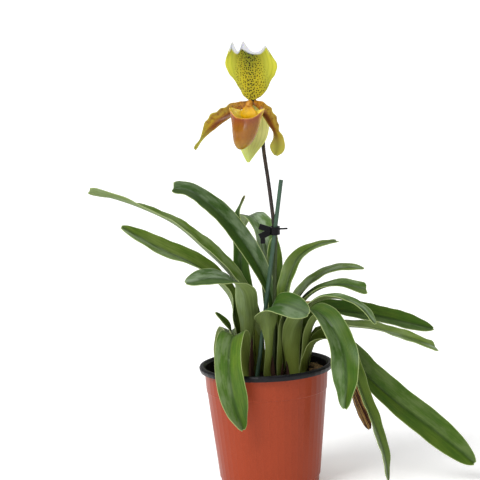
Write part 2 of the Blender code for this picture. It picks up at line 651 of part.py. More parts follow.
def leaf_grid(growth, ring, width, opens, face, fold_up, rolls, shares, route, tip, stations, columns):
    """Grid of points over one leaf's blade, from its base on the crown to its tip."""
    face = math.radians(face)
    x, y = growth["at"]
    radius = growth["radius"] - ring * SHEATH_PITCH
    base = Vector((x + radius * math.cos(face), y + radius * math.sin(face), CROWN_TOP + GAP))
    s = 1 - (1 - np.linspace(0, 1, stations)) ** 1.15
    path = smooth_path([base, *(plant_point(*p) for p in route)], s, first_way=(0, 0, 1))
    length = np.sum(np.linalg.norm(np.diff(path, axis=0), axis=1))
    base_half = min(LEAF_BASE_SHARE * width * MM, 1.25 * radius)
    ways, sideways, upper = leaf_frames(path, face)
    grid = []
    for i in range(stations):
        opened = smoothstep((s[i] * length - opens * MM) / (45 * MM))
        curve = (1 - opened) / radius - opened * LEAF_OUTWARD_CURL
        fold = math.radians(fold_up) * opened * (1 + (LEAF_TIP_FOLD - 1) * smoothstep((s[i] - 0.5) * 2))
        half = leaf_half_width(s[i], width * MM, shares, base_half, tip[0])
        roll = math.radians(flow(list(zip(LEAF_ROLL_PLACES, (0, *rolls))), s[i]))
        side = sideways[i] * math.cos(roll) + upper[i] * math.sin(roll)
        up = upper[i] * math.cos(roll) - sideways[i] * math.sin(roll)
        row = []
        for v, (across, rise) in zip(np.linspace(-1, 1, columns), leaf_section(half, fold, curve, columns)):
            point = path[i] + side * across + up * rise
            if i == stations - 1:
                point = point + ways[i] * (LEAF_NOTCH * abs(v) + tip[1] * MM * v / 2)
            row.append(point)
        grid.append(row)
    return grid


def make_leaf(name):
    """One strap leaf with a channelled blade and a notched tip."""
    growth, *shape = LEAVES[name]
    tip = LEAF_TIPS.get(name, (LEAF_TIP_WIDTH, 0))
    grid = leaf_grid(GROWTHS[growth], *shape, tip, LEAF_STATIONS, LEAF_COLUMNS)
    finish = {"leaf_f_brown": "leaf_brown", "leaf_f_yellowing": "leaf_yellow"}.get(name, "leaf_green")
    new_object(name, *thin_solid(grid, LEAF_THICKNESS), finish, math.radians(60))


def make_stake():
    """Plain rod, and the tool for its hole in the mix."""
    top, foot = plant_point(*STAKE_TOP), plant_point(*STAKE_FOOT)
    line = np.linspace(foot, top, 3)
    new_object("stake", *tube(line, [STAKE_RADIUS] * 3, STAKE_SIDES), "stake_green")
    line = np.array([foot - (top - foot).normalized() * GAP, top])
    return new_object("stake_tool", *tube(line, [STAKE_RADIUS + GAP] * 2, STAKE_SIDES), "root")


def bloom_turn():
    """Rotation from the bloom's own axes to the world's."""
    lean = Matrix.Rotation(math.atan(LEAN), 3, "Y")
    return lean @ Matrix.Rotation(-BLOOM_TURN, 3, "Z") @ Matrix.Rotation(BLOOM_NOD, 3, "X")


def bloom_place(right, up, forward):
    """World place of a point given in mm along the bloom's own axes."""
    return plant_point(*BLOOM_AT) + bloom_turn() @ (Vector((right, -forward, up)) * MM)


def make_flower_stem():
    """Upright stem that swells into the ovary and ends in the disc that carries the bloom."""
    x, y = GROWTHS["c"]["at"]
    route = [Vector((x, y, CROWN_TOP + GAP))]
    route += [plant_point(*p) for p in STEM_POINTS]
    route += [bloom_place(*p) for p in OVARY_POINTS]
    fractions = [0, 0.14, 0.28, 0.42, 0.54, 0.66, 0.76, 0.83, 0.87, 0.905, 0.94, 0.965, 0.985, 1]
    path = smooth_path(route, fractions, first_way=(0, 0, 1))
    radii = [STEM_RADIUS * between(STEM_SWELL, f) for f in fractions]
    forward = bloom_turn() @ Vector((0, -1, 0))
    new_object("flower_stem", *tube(path, radii, STEM_SIDES, forward), "stem_purple")


def make_bract():
    """Leafy sheath half wrapped round the ovary, with a pointed tip."""
    route = [plant_point(*p) for p in STEM_POINTS[-2:]] + [bloom_place(*OVARY_POINTS[0])]
    path = smooth_path(route, np.linspace(BRACT_SPAN[0], BRACT_SPAN[1], 6))
    ways = directions(path)
    grid = []
    for i, (centre, way) in enumerate(zip(path, ways)):
        back = np.array((0.35, 1.0, 0.0))
        back = back - way * (back @ way)
        back /= np.linalg.norm(back)
        side = np.cross(back, way)
        spread = math.radians((115, 110, 100, 80, 50, 14)[i])
        radius = BRACT_RADIUS * (0.62, 0.8, 0.95, 1.0, 1.0, 1.0)[i]
        grid.append([
            centre + radius * (back * math.cos(v * spread) + side * math.sin(v * spread))
            for v in np.linspace(-1, 1, 7)])
    new_object("bract", *thin_solid(grid, 0.7 * MM), "bract_green", math.radians(60))


def tepal_grid(rows, columns, shape):
    """Grid of world places from a function of height share and sideways share."""
    return [[bloom_place(*shape(t, v)) for v in np.linspace(-1, 1, columns)] for t in np.linspace(0, 1, rows)]


def dorsal_shape(t, v):
    """Broad upper sepal: hooded, with reflexed lower edges and a crested top."""
    half = between(DORSAL_HALF_WIDTHS, t)
    up = DORSAL_BASE + (DORSAL_HEIGHT - DORSAL_BASE) * t - 2.5 * v * v * t * t
    up += between(DORSAL_CREST, v) * smoothstep((t - 0.72) / 0.28)
    hood = 6 * t * t - 2 * t
    rolled = -5.0 * smoothstep((0.75 - t) / 0.75) * min(t * 6, 1) * v * v
    return half * v + 1.9 * t, up, 0.4 + hood + rolled + 2.2 * smoothstep((t - 0.6) / 0.4) * v * v


def synsepal_shape(t, v):
    """Joined lower sepals: a boat behind the lip that ends in a point."""
    half = between(SYNSEPAL_HALF_WIDTHS, t)
    up = -2.1 - (SYNSEPAL_LENGTH - 2.1) * t
    sweep = 0.4 - 2.5 * math.sin(math.pi * min(t * 1.3, 1)) + 8.5 * smoothstep((t - 0.55) / 0.45)
    return half * v - 2 * t * t, up, sweep + 3.0 * v * v * math.sin(math.pi * t)


def petal_grid(side, route, columns=5):
    """Grid of a petal from rows of (right, up, forward, half width, roll in degrees)."""
    rows = np.array(route, float)
    path = smooth_path([bloom_place(*row[:3]) for row in rows], np.linspace(0, 1, PETAL_STATIONS))
    knots = np.linspace(0, 1, len(rows))
    ways = directions(path)
    front = np.array(bloom_turn() @ Vector((0, -1, 0)))
    grid = []
    for i, (centre, way) in enumerate(zip(path, ways)):
        t = i / (PETAL_STATIONS - 1)
        half, roll = np.interp(t, knots, rows[:, 3]), math.radians(np.interp(t, knots, rows[:, 4]))
        face = front - way * (front @ way)
        face /= np.linalg.norm(face)
        across = np.cross(way, face) * side
        wide = across * math.cos(roll) + face * math.sin(roll)
        deep = face * math.cos(roll) - across * math.sin(roll)
        grid.append([
            centre + (wide * v * half + deep * (0.22 * half * v * v + 0.5 * math.sin(9 * t + 3 * v) * abs(v))) * MM
            for v in np.linspace(-side, side, columns)])
    return grid


def pouch_ring(row, share, inset):
    """One ring of the pouch, at a share of the way from its mouth to its toe."""
    up, forward, half, deep = row
    mouth = max(1 - 3.2 * share, 0)
    ring = []
    for k in range(POUCH_SIDES):
        turn = 2 * math.pi * k / POUCH_SIDES
        sway, dip = math.sin(turn), math.cos(turn)
        ear = mouth * abs(sway) ** 5
        behind = smoothstep(-dip)
        lift = POUCH_EAR_RISE * ear + mouth * (POUCH_BACK_RISE * behind + POUCH_FRONT_RISE * smoothstep(dip))
        right = (half + POUCH_EAR_FLARE * ear - inset) * sway * (1 - 0.2 * behind * (1 - share))
        right += POUCH_SKEW * share
        ring.append(bloom_place(right, up + lift, forward + (deep - inset) * dip))
    return ring


def make_pouch():
    """Slipper-shaped lip: a thin bag with an open mouth, eared on both sides."""
    rows, around = len(POUCH_ROWS), POUCH_SIDES
    points = []
    for inset in (0.0, POUCH_WALL / MM):
        for k, row in enumerate(POUCH_ROWS):
            points += pouch_ring(row, k / rows, inset)
        up, forward = POUCH_TOE
        points.append(bloom_place(POUCH_SKEW, up + inset, forward))
    skin = rows * around + 1
    faces = []
    for layer in (0, 1):
        first = layer * skin
        for k in range(rows):
            for j in range(around):
                i = (j + 1) % around
                a, b = first + k * around + j, first + k * around + i
                if k == rows - 1:
                    loop = (a, b, first + skin - 1)
                else:
                    loop = (a, b, b + around, a + around)
                faces.append(loop[::-1] if layer == 0 else loop)
    for j in range(around):
        i = (j + 1) % around
        faces.append((j, i, skin + i, skin + j))
    pouch = new_object("pouch", points, faces, "lip_amber", math.radians(60))
    path = np.array([bloom_place(*p) for p in POUCH_CLAW])
    unite(pouch, new_object("claw_part", *tube(path, [0.9 * MM, 0.8 * MM, 0.7 * MM], 8), "lip_amber"))


def make_column():
    """Short column with the shield-shaped staminode at its front."""
    path = np.array([bloom_place(*p) for p in COLUMN_POINTS])
    points, faces = tube(path, [radius * MM for radius in COLUMN_RADII], 10)
    column = new_object("column", points, faces, "column_yellow")
    shield = []
    for forward, grow in ((7.6, 0.86), (8.4, 1.0), (9.4, 0.9)):
        for k in range(16):
            turn = 2 * math.pi * k / 16
            wide = 0.82 - 0.22 * math.sin(turn)
            notch = 1 - 0.12 * math.exp(-((turn - 1.5 * math.pi) / 0.3) ** 2)
            right = STAMINODE_HALF_WIDTH * grow * math.cos(turn) * wide
            up = STAMINODE_MIDDLE + STAMINODE_HALF_HEIGHT * grow * math.sin(turn) * notch
            shield.append(bloom_place(right, up, forward - 0.1 * (up + 2)))
    piece = new_object("staminode_part", shield, tube_faces(3, 16), "column_yellow")
    unite(column, piece)


def oval(half_x, half_y, count):
    """Points of an upright oval, as (x, y)."""
    turns = [2 * math.pi * k / count for k in range(count)]
    return [(half_x * math.cos(t), half_y * math.sin(t)) for t in turns]


def make_clip():
    """Stem clip: a split band round stem and stake, two finger wings and a catch pin."""
    centre = plant_point(*CLIP_AT)
    outer, inner = oval(*CLIP_OUTER, 20), oval(*CLIP_INNER, 20)
    half = CLIP_HEIGHT / 2
    points = []
    for loop in (outer, inner):
        for z in (-half, half):
            points += [centre + Vector((x * MM, y * MM, z)) for x, y in loop]
    faces = []
    for k in range(20):
        j = (k + 1) % 20
        faces += [
            (k, j, 20 + j, 20 + k), (40 + j, 40 + k, 60 + k, 60 + j),
            (20 + k, 20 + j, 60 + j, 60 + k), (j, k, 40 + k, 40 + j)]
    clip = new_object("stem_clip", points, faces, "clip_black", math.radians(35))
    parts = [
        ((-8.6, -1.6, 2.6), (11.0, 1.3, 5.0), 20),
        ((-8.6, 1.6, -3.2), (11.0, 1.3, 5.6), -25),
        ((-11.0, 1.6, -8.0), (4.0, 1.3, 7.0), 0),
        ((7.4, -1.0, 1.4), (7.6, 1.4, 1.4), 0),
    ]
    for k, (at, size, tilt) in enumerate(parts):
        tool = bmesh.new()
        place = Matrix.Translation(centre + Vector(at) * MM) @ Matrix.Rotation(math.radians(tilt), 4, "Y")
        bmesh.ops.create_cube(tool, size=1, matrix=place @ Matrix.Diagonal((*[n * MM for n in size], 1)))
        mesh = bpy.data.meshes.new(f"clip_part_{k}")
        tool.to_mesh(mesh)
        tool.free()
        piece = bpy.data.objects.new(f"clip_part_{k}", mesh)
        bpy.context.scene.collection.objects.link(piece)
        unite(clip, piece)


clear_scene()
make_pot()
root_hole = make_rootstock("rootstock_tool", GAP)
make_rootstock("rootstock")
make_potting_mix(root_hole, make_stake())
for leaf_name in LEAVES:
    make_leaf(leaf_name)
make_flower_stem()
make_bract()
new_object(
    "dorsal_sepal", *thin_solid(tepal_grid(DORSAL_ROWS, DORSAL_COLUMNS, dorsal_shape), TEPAL_THICKNESS),
    "sepal_green", math.radians(60))
new_object(
    "lateral_sepals", *thin_solid(tepal_grid(SYNSEPAL_ROWS, SYNSEPAL_COLUMNS, synsepal_shape), TEPAL_THICKNESS),
    "sepal_green", math.radians(60))
for petal_name, (petal_side, petal_route) in PETALS.items():
    new_object(
        petal_name, *thin_solid(petal_grid(petal_side, petal_route), TEPAL_THICKNESS),
        "petal_bronze", math.radians(60))
make_pouch()
make_column()
make_clip()
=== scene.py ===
"""Potted slipper orchid: leaves, bloom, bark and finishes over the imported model.

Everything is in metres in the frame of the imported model: +Z is up, the origin is
the middle of the pot's underside, and the bloom faces -Y.
"""

import math
import random

import bpy
import numpy as np
from bpy.props import FloatProperty, FloatVectorProperty, IntProperty, PointerProperty
from mathutils import Matrix, Quaternion, Vector


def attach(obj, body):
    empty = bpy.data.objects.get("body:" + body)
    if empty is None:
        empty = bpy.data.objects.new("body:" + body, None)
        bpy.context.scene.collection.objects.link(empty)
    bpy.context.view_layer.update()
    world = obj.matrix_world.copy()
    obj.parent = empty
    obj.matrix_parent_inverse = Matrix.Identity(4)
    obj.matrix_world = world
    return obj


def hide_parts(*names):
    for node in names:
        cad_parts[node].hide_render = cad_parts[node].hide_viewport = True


bl_info = {
    "name": "Potted slipper orchid",
    "version": (1, 0, 0),
    "blender": (4, 5, 0),
    "location": "3D View > Sidebar > Orchid",
    "description": "Leaves, bloom, bark, finishes and studio for a potted slipper orchid",
    "category": "Object",
}

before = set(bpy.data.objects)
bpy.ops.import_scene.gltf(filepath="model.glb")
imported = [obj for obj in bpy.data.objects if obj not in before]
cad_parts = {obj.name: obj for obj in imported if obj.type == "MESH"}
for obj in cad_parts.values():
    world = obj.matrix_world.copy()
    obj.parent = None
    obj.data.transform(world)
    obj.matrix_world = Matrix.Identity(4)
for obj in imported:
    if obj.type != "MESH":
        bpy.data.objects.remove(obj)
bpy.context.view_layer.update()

MM = 0.001
GAP = 0.3 * MM

# Where the plant stands in the pot, as in the model.
MIX_TOP = 96.5 * MM
CROWN_TOP = 100 * MM
LEAN = math.tan(math.radians(2.4))
GROWTHS = {
    "a": {"at": (-20 * MM, -4 * MM), "radius": 8.5 * MM},
    "b": {"at": (-5 * MM, 13 * MM), "radius": 7.4 * MM},
    "c": {"at": (7 * MM, -5.5 * MM), "radius": 8.2 * MM},
    "d": {"at": (13 * MM, 13.5 * MM), "radius": 7.8 * MM},
    "e": {"at": (27 * MM, -6 * MM), "radius": 8.5 * MM},
    "f": {"at": (31 * MM, 13.5 * MM), "radius": 7.8 * MM},
    "g": {"at": (1 * MM, -18.5 * MM), "radius": 3.4 * MM},
}
POT_RIM_FOOT = 104.6 * MM
POT_INNER_RADIUS = 52.2 * MM
STAKE_AT = (-9.3 * MM, -15 * MM)
STAKE_ROOM = 2.4 * MM
SOFT_EDGE = 0.3 * MM
SHEATH_PITCH = 1.35 * MM
LEAF_TIP_FOLD = 0.47
LEAF_OUTWARD_CURL = 9.0
LEAF_BASE_SHARE = 0.28
LEAF_TIP_SHARE = 0.24
LEAF_TIP_WIDTH = 0.22
LEAF_NOTCH = 0.7 * MM
LEAF_NOTCH_FROM = 0.86
LEAF_OPENING = 45 * MM
LEAF_EDGE = 0.45 * MM
LEAF_ROLL_PLACES = (0, 0.25, 0.5, 0.75, 1)
LEAF_SHARE_PLACES = (0, 0.3, 0.5, 0.7, 0.9, 1)

# One row for each leaf: growth, ring counted inwards, width in mm, height in mm
# at which it starts to open, the way its keel faces at the base in degrees, how
# far each half is folded up in degrees, roll in degrees at each quarter of its
# length, share of the full width at LEAF_SHARE_PLACES after the first, how yellow
# its green is, how much grey sheen is painted on it and how deep its green is, from
# 0 to 1, and the points in mm that its midrib passes through to the tip.
LEAVES = {
    "leaf_a_front_droop": ("a", 0, 26, 5, 254, 30, (0, 0, 0, 0), (1, 1, 1, 1), (0.4, 0.15, 0.02), (
        (-25, -26, 136), (-30.5, -45, 141), (-33.5, -60, 126), (-32, -66, 103), (-27, -68, 80), (-21.5, -69, 65))),
    "leaf_a_small": ("a", 0, 9.5, 8, 186, 24, (10, 25, 35, 35), (1, 1, 1, 1), (0.25, 0.1, 0.45), (
        (-31, -7, 124), (-34.5, -11, 145), (-45.5, -15, 157.5))),
    "leaf_a_left": ("a", 1, 27, 10, 172, 36, (8, 22, 36, 36), (0.9, 1, 0.95, 0.8), (0.75, 0.35, 0.1), (
        (-28, 0, 140), (-33, 3, 168), (-46, 0, 184.5), (-67, -7, 200.5), (-94, -14, 214.5), (-113, -18, 226),
        (-127.5, -20, 235))),
    "leaf_a_front_left": ("a", 3, 26, 20, 258, 24, (0, 6, 24, 30), (0.72, 0.85, 1, 1), (0.3, 0.4, 0.4), (
        (-17, -11, 140), (-18, -18, 161), (-21.5, -27, 180), (-34.5, -40, 191), (-51, -51, 194.5), (-70.5, -60, 192))),
    "leaf_a_back": ("a", 0, 23, 5, 106, 30, (0, 0, 0, 0), (1, 1, 1, 1), (0.3, 0.2, 0.3), (
        (-25, 12, 118), (-29, 29, 130), (-33, 50, 128), (-36, 70, 110), (-38, 86, 84))),
    "leaf_b_left_long": ("b", 1, 24, 10, 215, 38, (10, 26, 12, -48), (1, 1, 0.66, 0.7), (0.7, 0.55, 0.05), (
        (-12, 6, 140), (-19, 8, 168), (-34, 10, 189), (-57, 10, 212), (-81, 8, 233), (-112, 4, 249),
        (-156.5, -2, 264.5))),
    "leaf_b_upright": ("b", 2, 17, 20, 105, 30, (0, 0, 20, 40), (1, 1, 0.8, 0.6), (0.3, 0.1, 0.5), (
        (-10, 22, 140), (-21, 35, 176), (-23, 47, 208), (-25.5, 58, 235), (-19, 64, 252))),
    "leaf_c_upper_right": ("c", 1, 20, 20, 335, 30, (-8, -15, -20, -25), (1, 1, 0.95, 0.6), (0.75, 0.2, 0.1), (
        (14.5, -9, 135), (15.5, -7, 158), (20, 0, 184), (30, 9, 204.5), (46, 14, 214), (63, 18, 217))),
    "leaf_c_upper_left": ("c", 2, 25, 25, 145, 30, (19, 38, 26, 30), (0.48, 0.75, 0.88, 0.86), (0.3, 0.15, 0.7), (
        (3.5, 0, 135), (5.5, 5, 163), (-4.5, 14, 190), (-27, 30, 223), (-50, 42, 246), (-68.5, 50, 258),
        (-84, 56, 260))),
    "leaf_d_young": ("d", 3, 17, 25, 135, 30, (0, 0, 0, 0), (1, 1, 1, 1), (0.5, 0.2, 0.3), (
        (9, 18, 140), (8, 23, 168), (7, 27, 195), (7, 31, 218))),
    "leaf_d_far_back": ("d", 0, 24, 5, 120, 30, (0, 0, 0, 0), (1, 1, 1, 1), (0.4, 1, 0), (
        (7, 25, 132), (5, 32, 165), (2, 40, 198), (-3, 50, 222), (-11, 65, 232), (-20, 84, 228),
        (-26, 102, 212))),
    "leaf_d_mid_right": ("d", 1, 15, 10, 335, 30, (-2, -4, -14, -40), (1, 1, 1, 1.1), (0.45, 0.15, 0.35), (
        (22, 12, 128), (28, 12, 149), (37, 11, 166.5), (49, 10, 175), (68, 7, 179), (89, 3, 175.5))),
    "leaf_d_top_right": ("d", 2, 18, 15, 345, 30, (-5, -10, -16, -20), (1, 1, 0.95, 0.85), (0.8, 0.3, 0), (
        (20, 14, 140), (27, 16, 161), (38, 19, 176), (54, 23, 187), (72, 25, 191.5), (88, 26, 190.5))),
    "leaf_e_front_droop": ("e", 0, 26, 5, 235, 30, (0, 0, 0, 0), (1, 1, 1, 1), (0.35, 0.15, 0.35), (
        (22, -17, 131), (27, -22, 150), (39, -31, 162.5), (49, -41, 158.5), (58, -52, 147), (65.5, -61, 130),
        (68, -65, 108), (67, -66, 83))),
    "leaf_e_low_right": ("e", 0, 31, 5, 0, 30, (-22, -45, -56, -68), (1, 1, 1, 0.9), (0.5, 0.05, 0.35), (
        (38, -9, 118), (45, -13, 132), (55, -16, 135), (69, -17, 124), (87, -19, 103), (117, -24, 77),
        (152, -27, 51), (184, -30, 25))),
    "leaf_e_hanging": ("e", 1, 19.5, 20, 325, 30, (-5, -10, -18, -25), (1, 1, 1, 1), (0.75, 0.1, 0.1), (
        (36, -11, 125), (40, -16, 145), (48, -24, 157), (59, -34, 152), (69, -40, 130), (80, -43, 98),
        (93, -43, 65), (103, -41, 35), (107, -38, 11))),
    "leaf_e_front_right": ("e", 3, 18, 25, 330, 30, (0, 0, 0, 0), (1, 0.85, 0.85, 0.9), (0.45, 0.4, 0.2), (
        (30, -6, 140), (34, -6, 156), (46, -7, 167), (65, -11, 169.5), (83, -19, 163), (95, -26, 150))),
    "leaf_f_brown": ("f", 0, 15, 8, 10, 30, (-12, -25, -42, -60), (1, 1, 1, 1), (0.3, 0, 0.3), (
        (41, 17, 120), (50, 23, 134), (60, 27, 126), (70, 29, 100), (82, 30, 70), (95, 29, 42))),
    "leaf_f_right": ("f", 1, 19, 8, 330, 30, (-4, -8, -18, -28), (1, 1, 0.92, 0.85), (0.9, 0.5, 0.05), (
        (40, 9, 122), (48, 10, 134), (64, 12, 139), (90, 10, 139), (115, 8, 134), (151.5, 4, 123))),
    "leaf_f_far_right": ("f", 2, 23, 18, 5, 30, (-20, -40, -38, -35), (1, 1, 1, 1), (0.35, 0.05, 0.35), (
        (37, 15, 130), (43, 20, 146), (54, 29, 151), (70, 38, 149), (96, 47, 144), (128, 55, 136),
        (155, 60, 129))),
    "leaf_f_yellowing": ("f", 3, 11, 20, 155, 30, (0, 0, 0, 0), (1, 1, 1, 1), (1, 0.2, 0), (
        (26, 20, 128), (27, 36, 146), (36, 54, 151), (64, 70, 150), (98, 78, 145))),
    "leaf_f_back": ("f", 0, 22, 5, 115, 30, (0, 0, 0, 0), (1, 1, 1, 1), (0.4, 0.2, 0.3), (
        (26, 26, 118), (22, 42, 136), (22, 64, 140), (26, 86, 124), (31, 100, 96))),
    "leaf_g_front_right": ("g", 0, 27, 20, 270, 24, (-12, -25, -34, -40), (0.5, 0.95, 1, 1), (0.2, 0.2, 0.45), (
        (2.5, -22, 120), (3, -25, 143), (2, -30, 160), (7, -37, 168.5), (17, -45, 169.5), (26, -51, 167),
        (35, -56, 164))),
}

# Tips that are cut off or blunt: width kept at the tip over the full width, and how
# far in mm the corner on one side reaches past the other.
LEAF_TIPS = {
    "leaf_b_left_long": (0.7, 0),
    "leaf_c_upper_left": (0.9, 3),
    "leaf_c_upper_right": (0.6, 2),
    "leaf_d_mid_right": (0.85, 3),
    "leaf_f_right": (0.8, 6),
    "leaf_f_yellowing": (0.5, 0),
}

# Where a leaf dries or yellows: share of its length where that starts, share over which
# it grows, and how far it goes at most.
LEAF_DECAY = {
    "leaf_f_brown": {"dry": (0.42, 0.3, 1)},
    "leaf_f_yellowing": {"dying": (0.2, 0.3, 1)},
    "leaf_b_upright": {"dry": (0.93, 0.07, 0.6)},
}

# Dry leaf sheaths that stand against the crowns: growth, direction in degrees,
# width and height in mm.
OLD_SHEATHS = (
    ("a", 318, 8, 34), ("c", 250, 8, 34), ("c", 318, 4, 11), ("e", 215, 4, 13), ("b", 200, 6, 22), ("b", 218, 11, 40))
# Green sheaths round the young growths, in the same terms.
GREEN_SHEATHS = (("b", 240, 13, 50), ("b", 278, 8, 56), ("a", 350, 10, 40))

# Loose bark chips, in mm: every third one lies in a heap at the right.
HEAP_AT = (43, 8)
HEAP_SPREAD = (5, 12)
HEAP_PEAK = (44, 8)
HEAP_HEIGHT = 7
CHIP_GAP = 2.2 * MM
CHIP_SIDES = 8
CHIP_LEVELS = ((-0.5, 0.82), (-0.25, 1.0), (0.25, 0.98), (0.5, 0.78))

# Flower stem, from the middle of growth c up to the bloom.
STEM_RADIUS = 1.6 * MM
STEM_GREEN_TO = 226 * MM
STEM_POINTS = (
    (7, -6, 140), (7.2, -8, 190), (7, -10.2, 228), (5.4, -10.2, 242), (1, -8, 275), (-3, -3, 302), (-4.8, 2, 322))
STEM_SWELL = ((0, 1), (0.8, 0.9), (0.86, 1.2), (0.94, 1.6), (0.985, 1.4), (1, 1.9))
OVARY_POINTS = ((0.5, -5.5, -10), (0, -0.6, -5), (0, 0, -0.35))
BRACT_RADIUS = 4 * MM
BRACT_SPAN = (0.38, 0.97)
BRACT_SPREADS = (115, 110, 100, 80, 50, 6)
BRACT_WIDENS = (0.62, 0.8, 0.95, 1, 1, 1)
STEM_STATIONS = 90
STEM_SIDES = 16

# Bloom, in mm along its own axes: right, up and forward.
BLOOM_AT = (-13.5, -12, 344)
BLOOM_TURN = math.radians(20)
BLOOM_NOD = math.radians(6)
DORSAL_BASE = 2.1
DORSAL_HEIGHT = 48
DORSAL_HALF_WIDTHS = (
    (0, 3.2), (0.06, 7.8), (0.16, 11.6), (0.25, 14), (0.35, 16), (0.43, 18.4), (0.48, 20.4), (0.55, 21.9),
    (0.7, 24), (0.85, 22.5), (1, 18))
DORSAL_CREST = (
    (-1, 0), (-0.94, 4.5), (-0.88, 7.6), (-0.8, 4.2), (-0.7, -0.4), (-0.6, -1.8), (-0.5, 0.8), (-0.41, 5.2),
    (-0.35, 6.6), (-0.26, 4.2), (-0.12, 0.4), (0, -1.8), (0.24, -3), (0.5, -1), (0.7, 3), (0.78, 4.6),
    (0.88, 2.6), (1, -2))
DORSAL_BORDER = (
    (-1, 0.4), (-0.94, 3), (-0.88, 6), (-0.8, 4), (-0.7, 2.4), (-0.5, 3), (-0.35, 7), (-0.2, 5), (0, 2.6),
    (0.24, 1.8), (0.5, 2.4), (0.78, 1.6), (0.9, 0.6), (1, 0))
SYNSEPAL_LENGTH = 52
SYNSEPAL_HALF_WIDTHS = ((0, 2.0), (0.1, 9), (0.22, 14.5), (0.42, 15.5), (0.65, 12.5), (0.85, 6), (1, 1))
PETALS = {
    "petal_left": (-1, (
        (-2.1, 0, 0.6, 1.6, 0), (-5.5, -1.6, 1.8, 3.9, 5), (-13.4, -4, 3.2, 5.2, 10), (-22, -9.5, 4.8, 6.2, 20),
        (-32, -16.5, 6.4, 6.8, 25), (-39.5, -24.5, 7.4, 5, 35), (-44.5, -32, 8.4, 3, 60), (-51.5, -42, 9.4, 3.6, 50))),
    "petal_right": (1, (
        (2.1, 0, 0.6, 1.6, 0), (6.4, -1.2, 1.8, 3.6, 5), (11, -3.4, 3.2, 4.8, 20), (16, -8.5, 5.2, 4.8, 30),
        (20.8, -15.5, 7.2, 4.4, 35), (23.8, -23, 8.2, 3.2, 50), (26.4, -30.5, 9.2, 5, 20),
        (25.6, -38, 9.8, 6.6, 5),
        (24, -44.5, 10.2, 3.2, 0))),
}
POUCH_EAR_RISE = 8.0
POUCH_EAR_FLARE = 4.0
POUCH_BACK_RISE = 4.5
POUCH_FRONT_RISE = 0.8
POUCH_SKEW = -4.4
POUCH_WALL = 0.7
POUCH_ROWS = (
    (-11, 13, 12.4, 9.5), (-15, 13.4, 12.2, 9.7), (-20.5, 14.5, 12, 9.6), (-26.5, 16, 10.4, 8.8),
    (-32, 18, 8.2, 7.4), (-36, 19.5, 5, 4.8))
POUCH_TOE = (-38.3, 20.4)
POUCH_CLAW = ((0, -9, 3.9), (0, -5.5, 3), (0, -2.5, 1.65))
COLUMN_POINTS = ((0, 0, 0), (0, 0.6, 3), (0, 0.6, 4.8), (0, -2, 7.4), (0, -3.4, 8.8))
COLUMN_RADII = (1.2, 1.8, 2.9, 3.3, 2.8)
STAMINODE_HALF_WIDTH = 8
STAMINODE_HALF_HEIGHT = 6.9
STAMINODE_MIDDLE = -6.6
STAMINODE_RINGS = (
    (7.8, 0.84), (8.1, 0.96), (8.5, 1.0), (8.9, 0.97), (9.2, 0.86), (9.4, 0.66), (9.5, 0.4), (9.5, 0.15))

# The view of the photograph: a long lens from a little above the rim.
CAMERA_PLACE = (-0.0186, -1.7807, 0.4847)
CAMERA_AIM = (-0.0186, 0, 0.2217)
CAMERA_ROLL = math.radians(-2.4)
CAMERA_LENS = 152.13
CAMERA_SENSOR = 36
FLOOR_HALF = 30

# Lights of the studio: azimuth from the front and elevation of where each stands, and
# how wide it looks, in degrees.
LIGHTS = (("key", -48, 46, 34), ("fill", 32, 8, 8), ("front", -18, 3, 24), ("top", 160, 72, 40))

# Patterns of a leaf, per mm and in mm.
FIBRES_PER_MM = 1.1
CLOUD_DETAIL = 1.5
VEIN_PITCH = 1.208
PETAL_HAIRS = 110

# Petals let some light through: it spreads for about a millimetre, least in blue.
TISSUE = {"Subsurface_Weight": 0.5, "Subsurface_Scale": 1.5 * MM, "Subsurface_Radius": (1, 0.8, 0.3)}


def linear(code):
    """Linear red, green, blue and alpha of an sRGB hex colour."""
    parts = [int(code[i : i + 2], 16) / 255 for i in (1, 3, 5)]
    return (*[p / 12.92 if p <= 0.04045 else ((p + 0.055) / 1.055) ** 2.4 for p in parts], 1.0)


def colour(name, description, code):
    """Colour property with a default given in hex."""
    return FloatVectorProperty(
        name=name, description=description, subtype="COLOR", size=4, min=0, max=1, default=linear(code))


def length(name, description, default, low, high):
    """Length property with values given in mm."""
    return FloatProperty(
        name=name, description=description, default=default * MM, min=low * MM, max=high * MM, unit="LENGTH")


class OrchidSizes(bpy.types.PropertyGroup):
    """Sizes that a user of the plant may change."""

    leaf_stations: IntProperty(
        name="Leaf stations", description="Rows of points along each leaf", default=56, min=14, max=120)
    leaf_columns: IntProperty(
        name="Leaf columns", description="Points across each leaf, odd", default=17, min=5, max=41)
    leaf_thickness: length("Leaf thickness", "Thickness of a leaf at its midrib", 0.8, 0.6, 2)
    margin_wave: length("Margin wave", "How far the leaf margins rise and fall", 0.45, 0, 2)
    petal_thickness: length("Petal thickness", "Thickness of sepals and petals", 0.7, 0.4, 1.5)
    hair_length: length("Hair length", "Length of the hairs on stem and petals", 0.9, 0.2, 2)
    stem_hairs: IntProperty(name="Stem hairs", description="Hairs on the flower stem", default=900, min=0, max=4000)
    chip_length: length("Bark length", "Longest side of the largest bark chips", 13, 4, 25)
    chips: IntProperty(name="Bark chips", description="Loose bark chips on the mix", default=210, min=0, max=600)


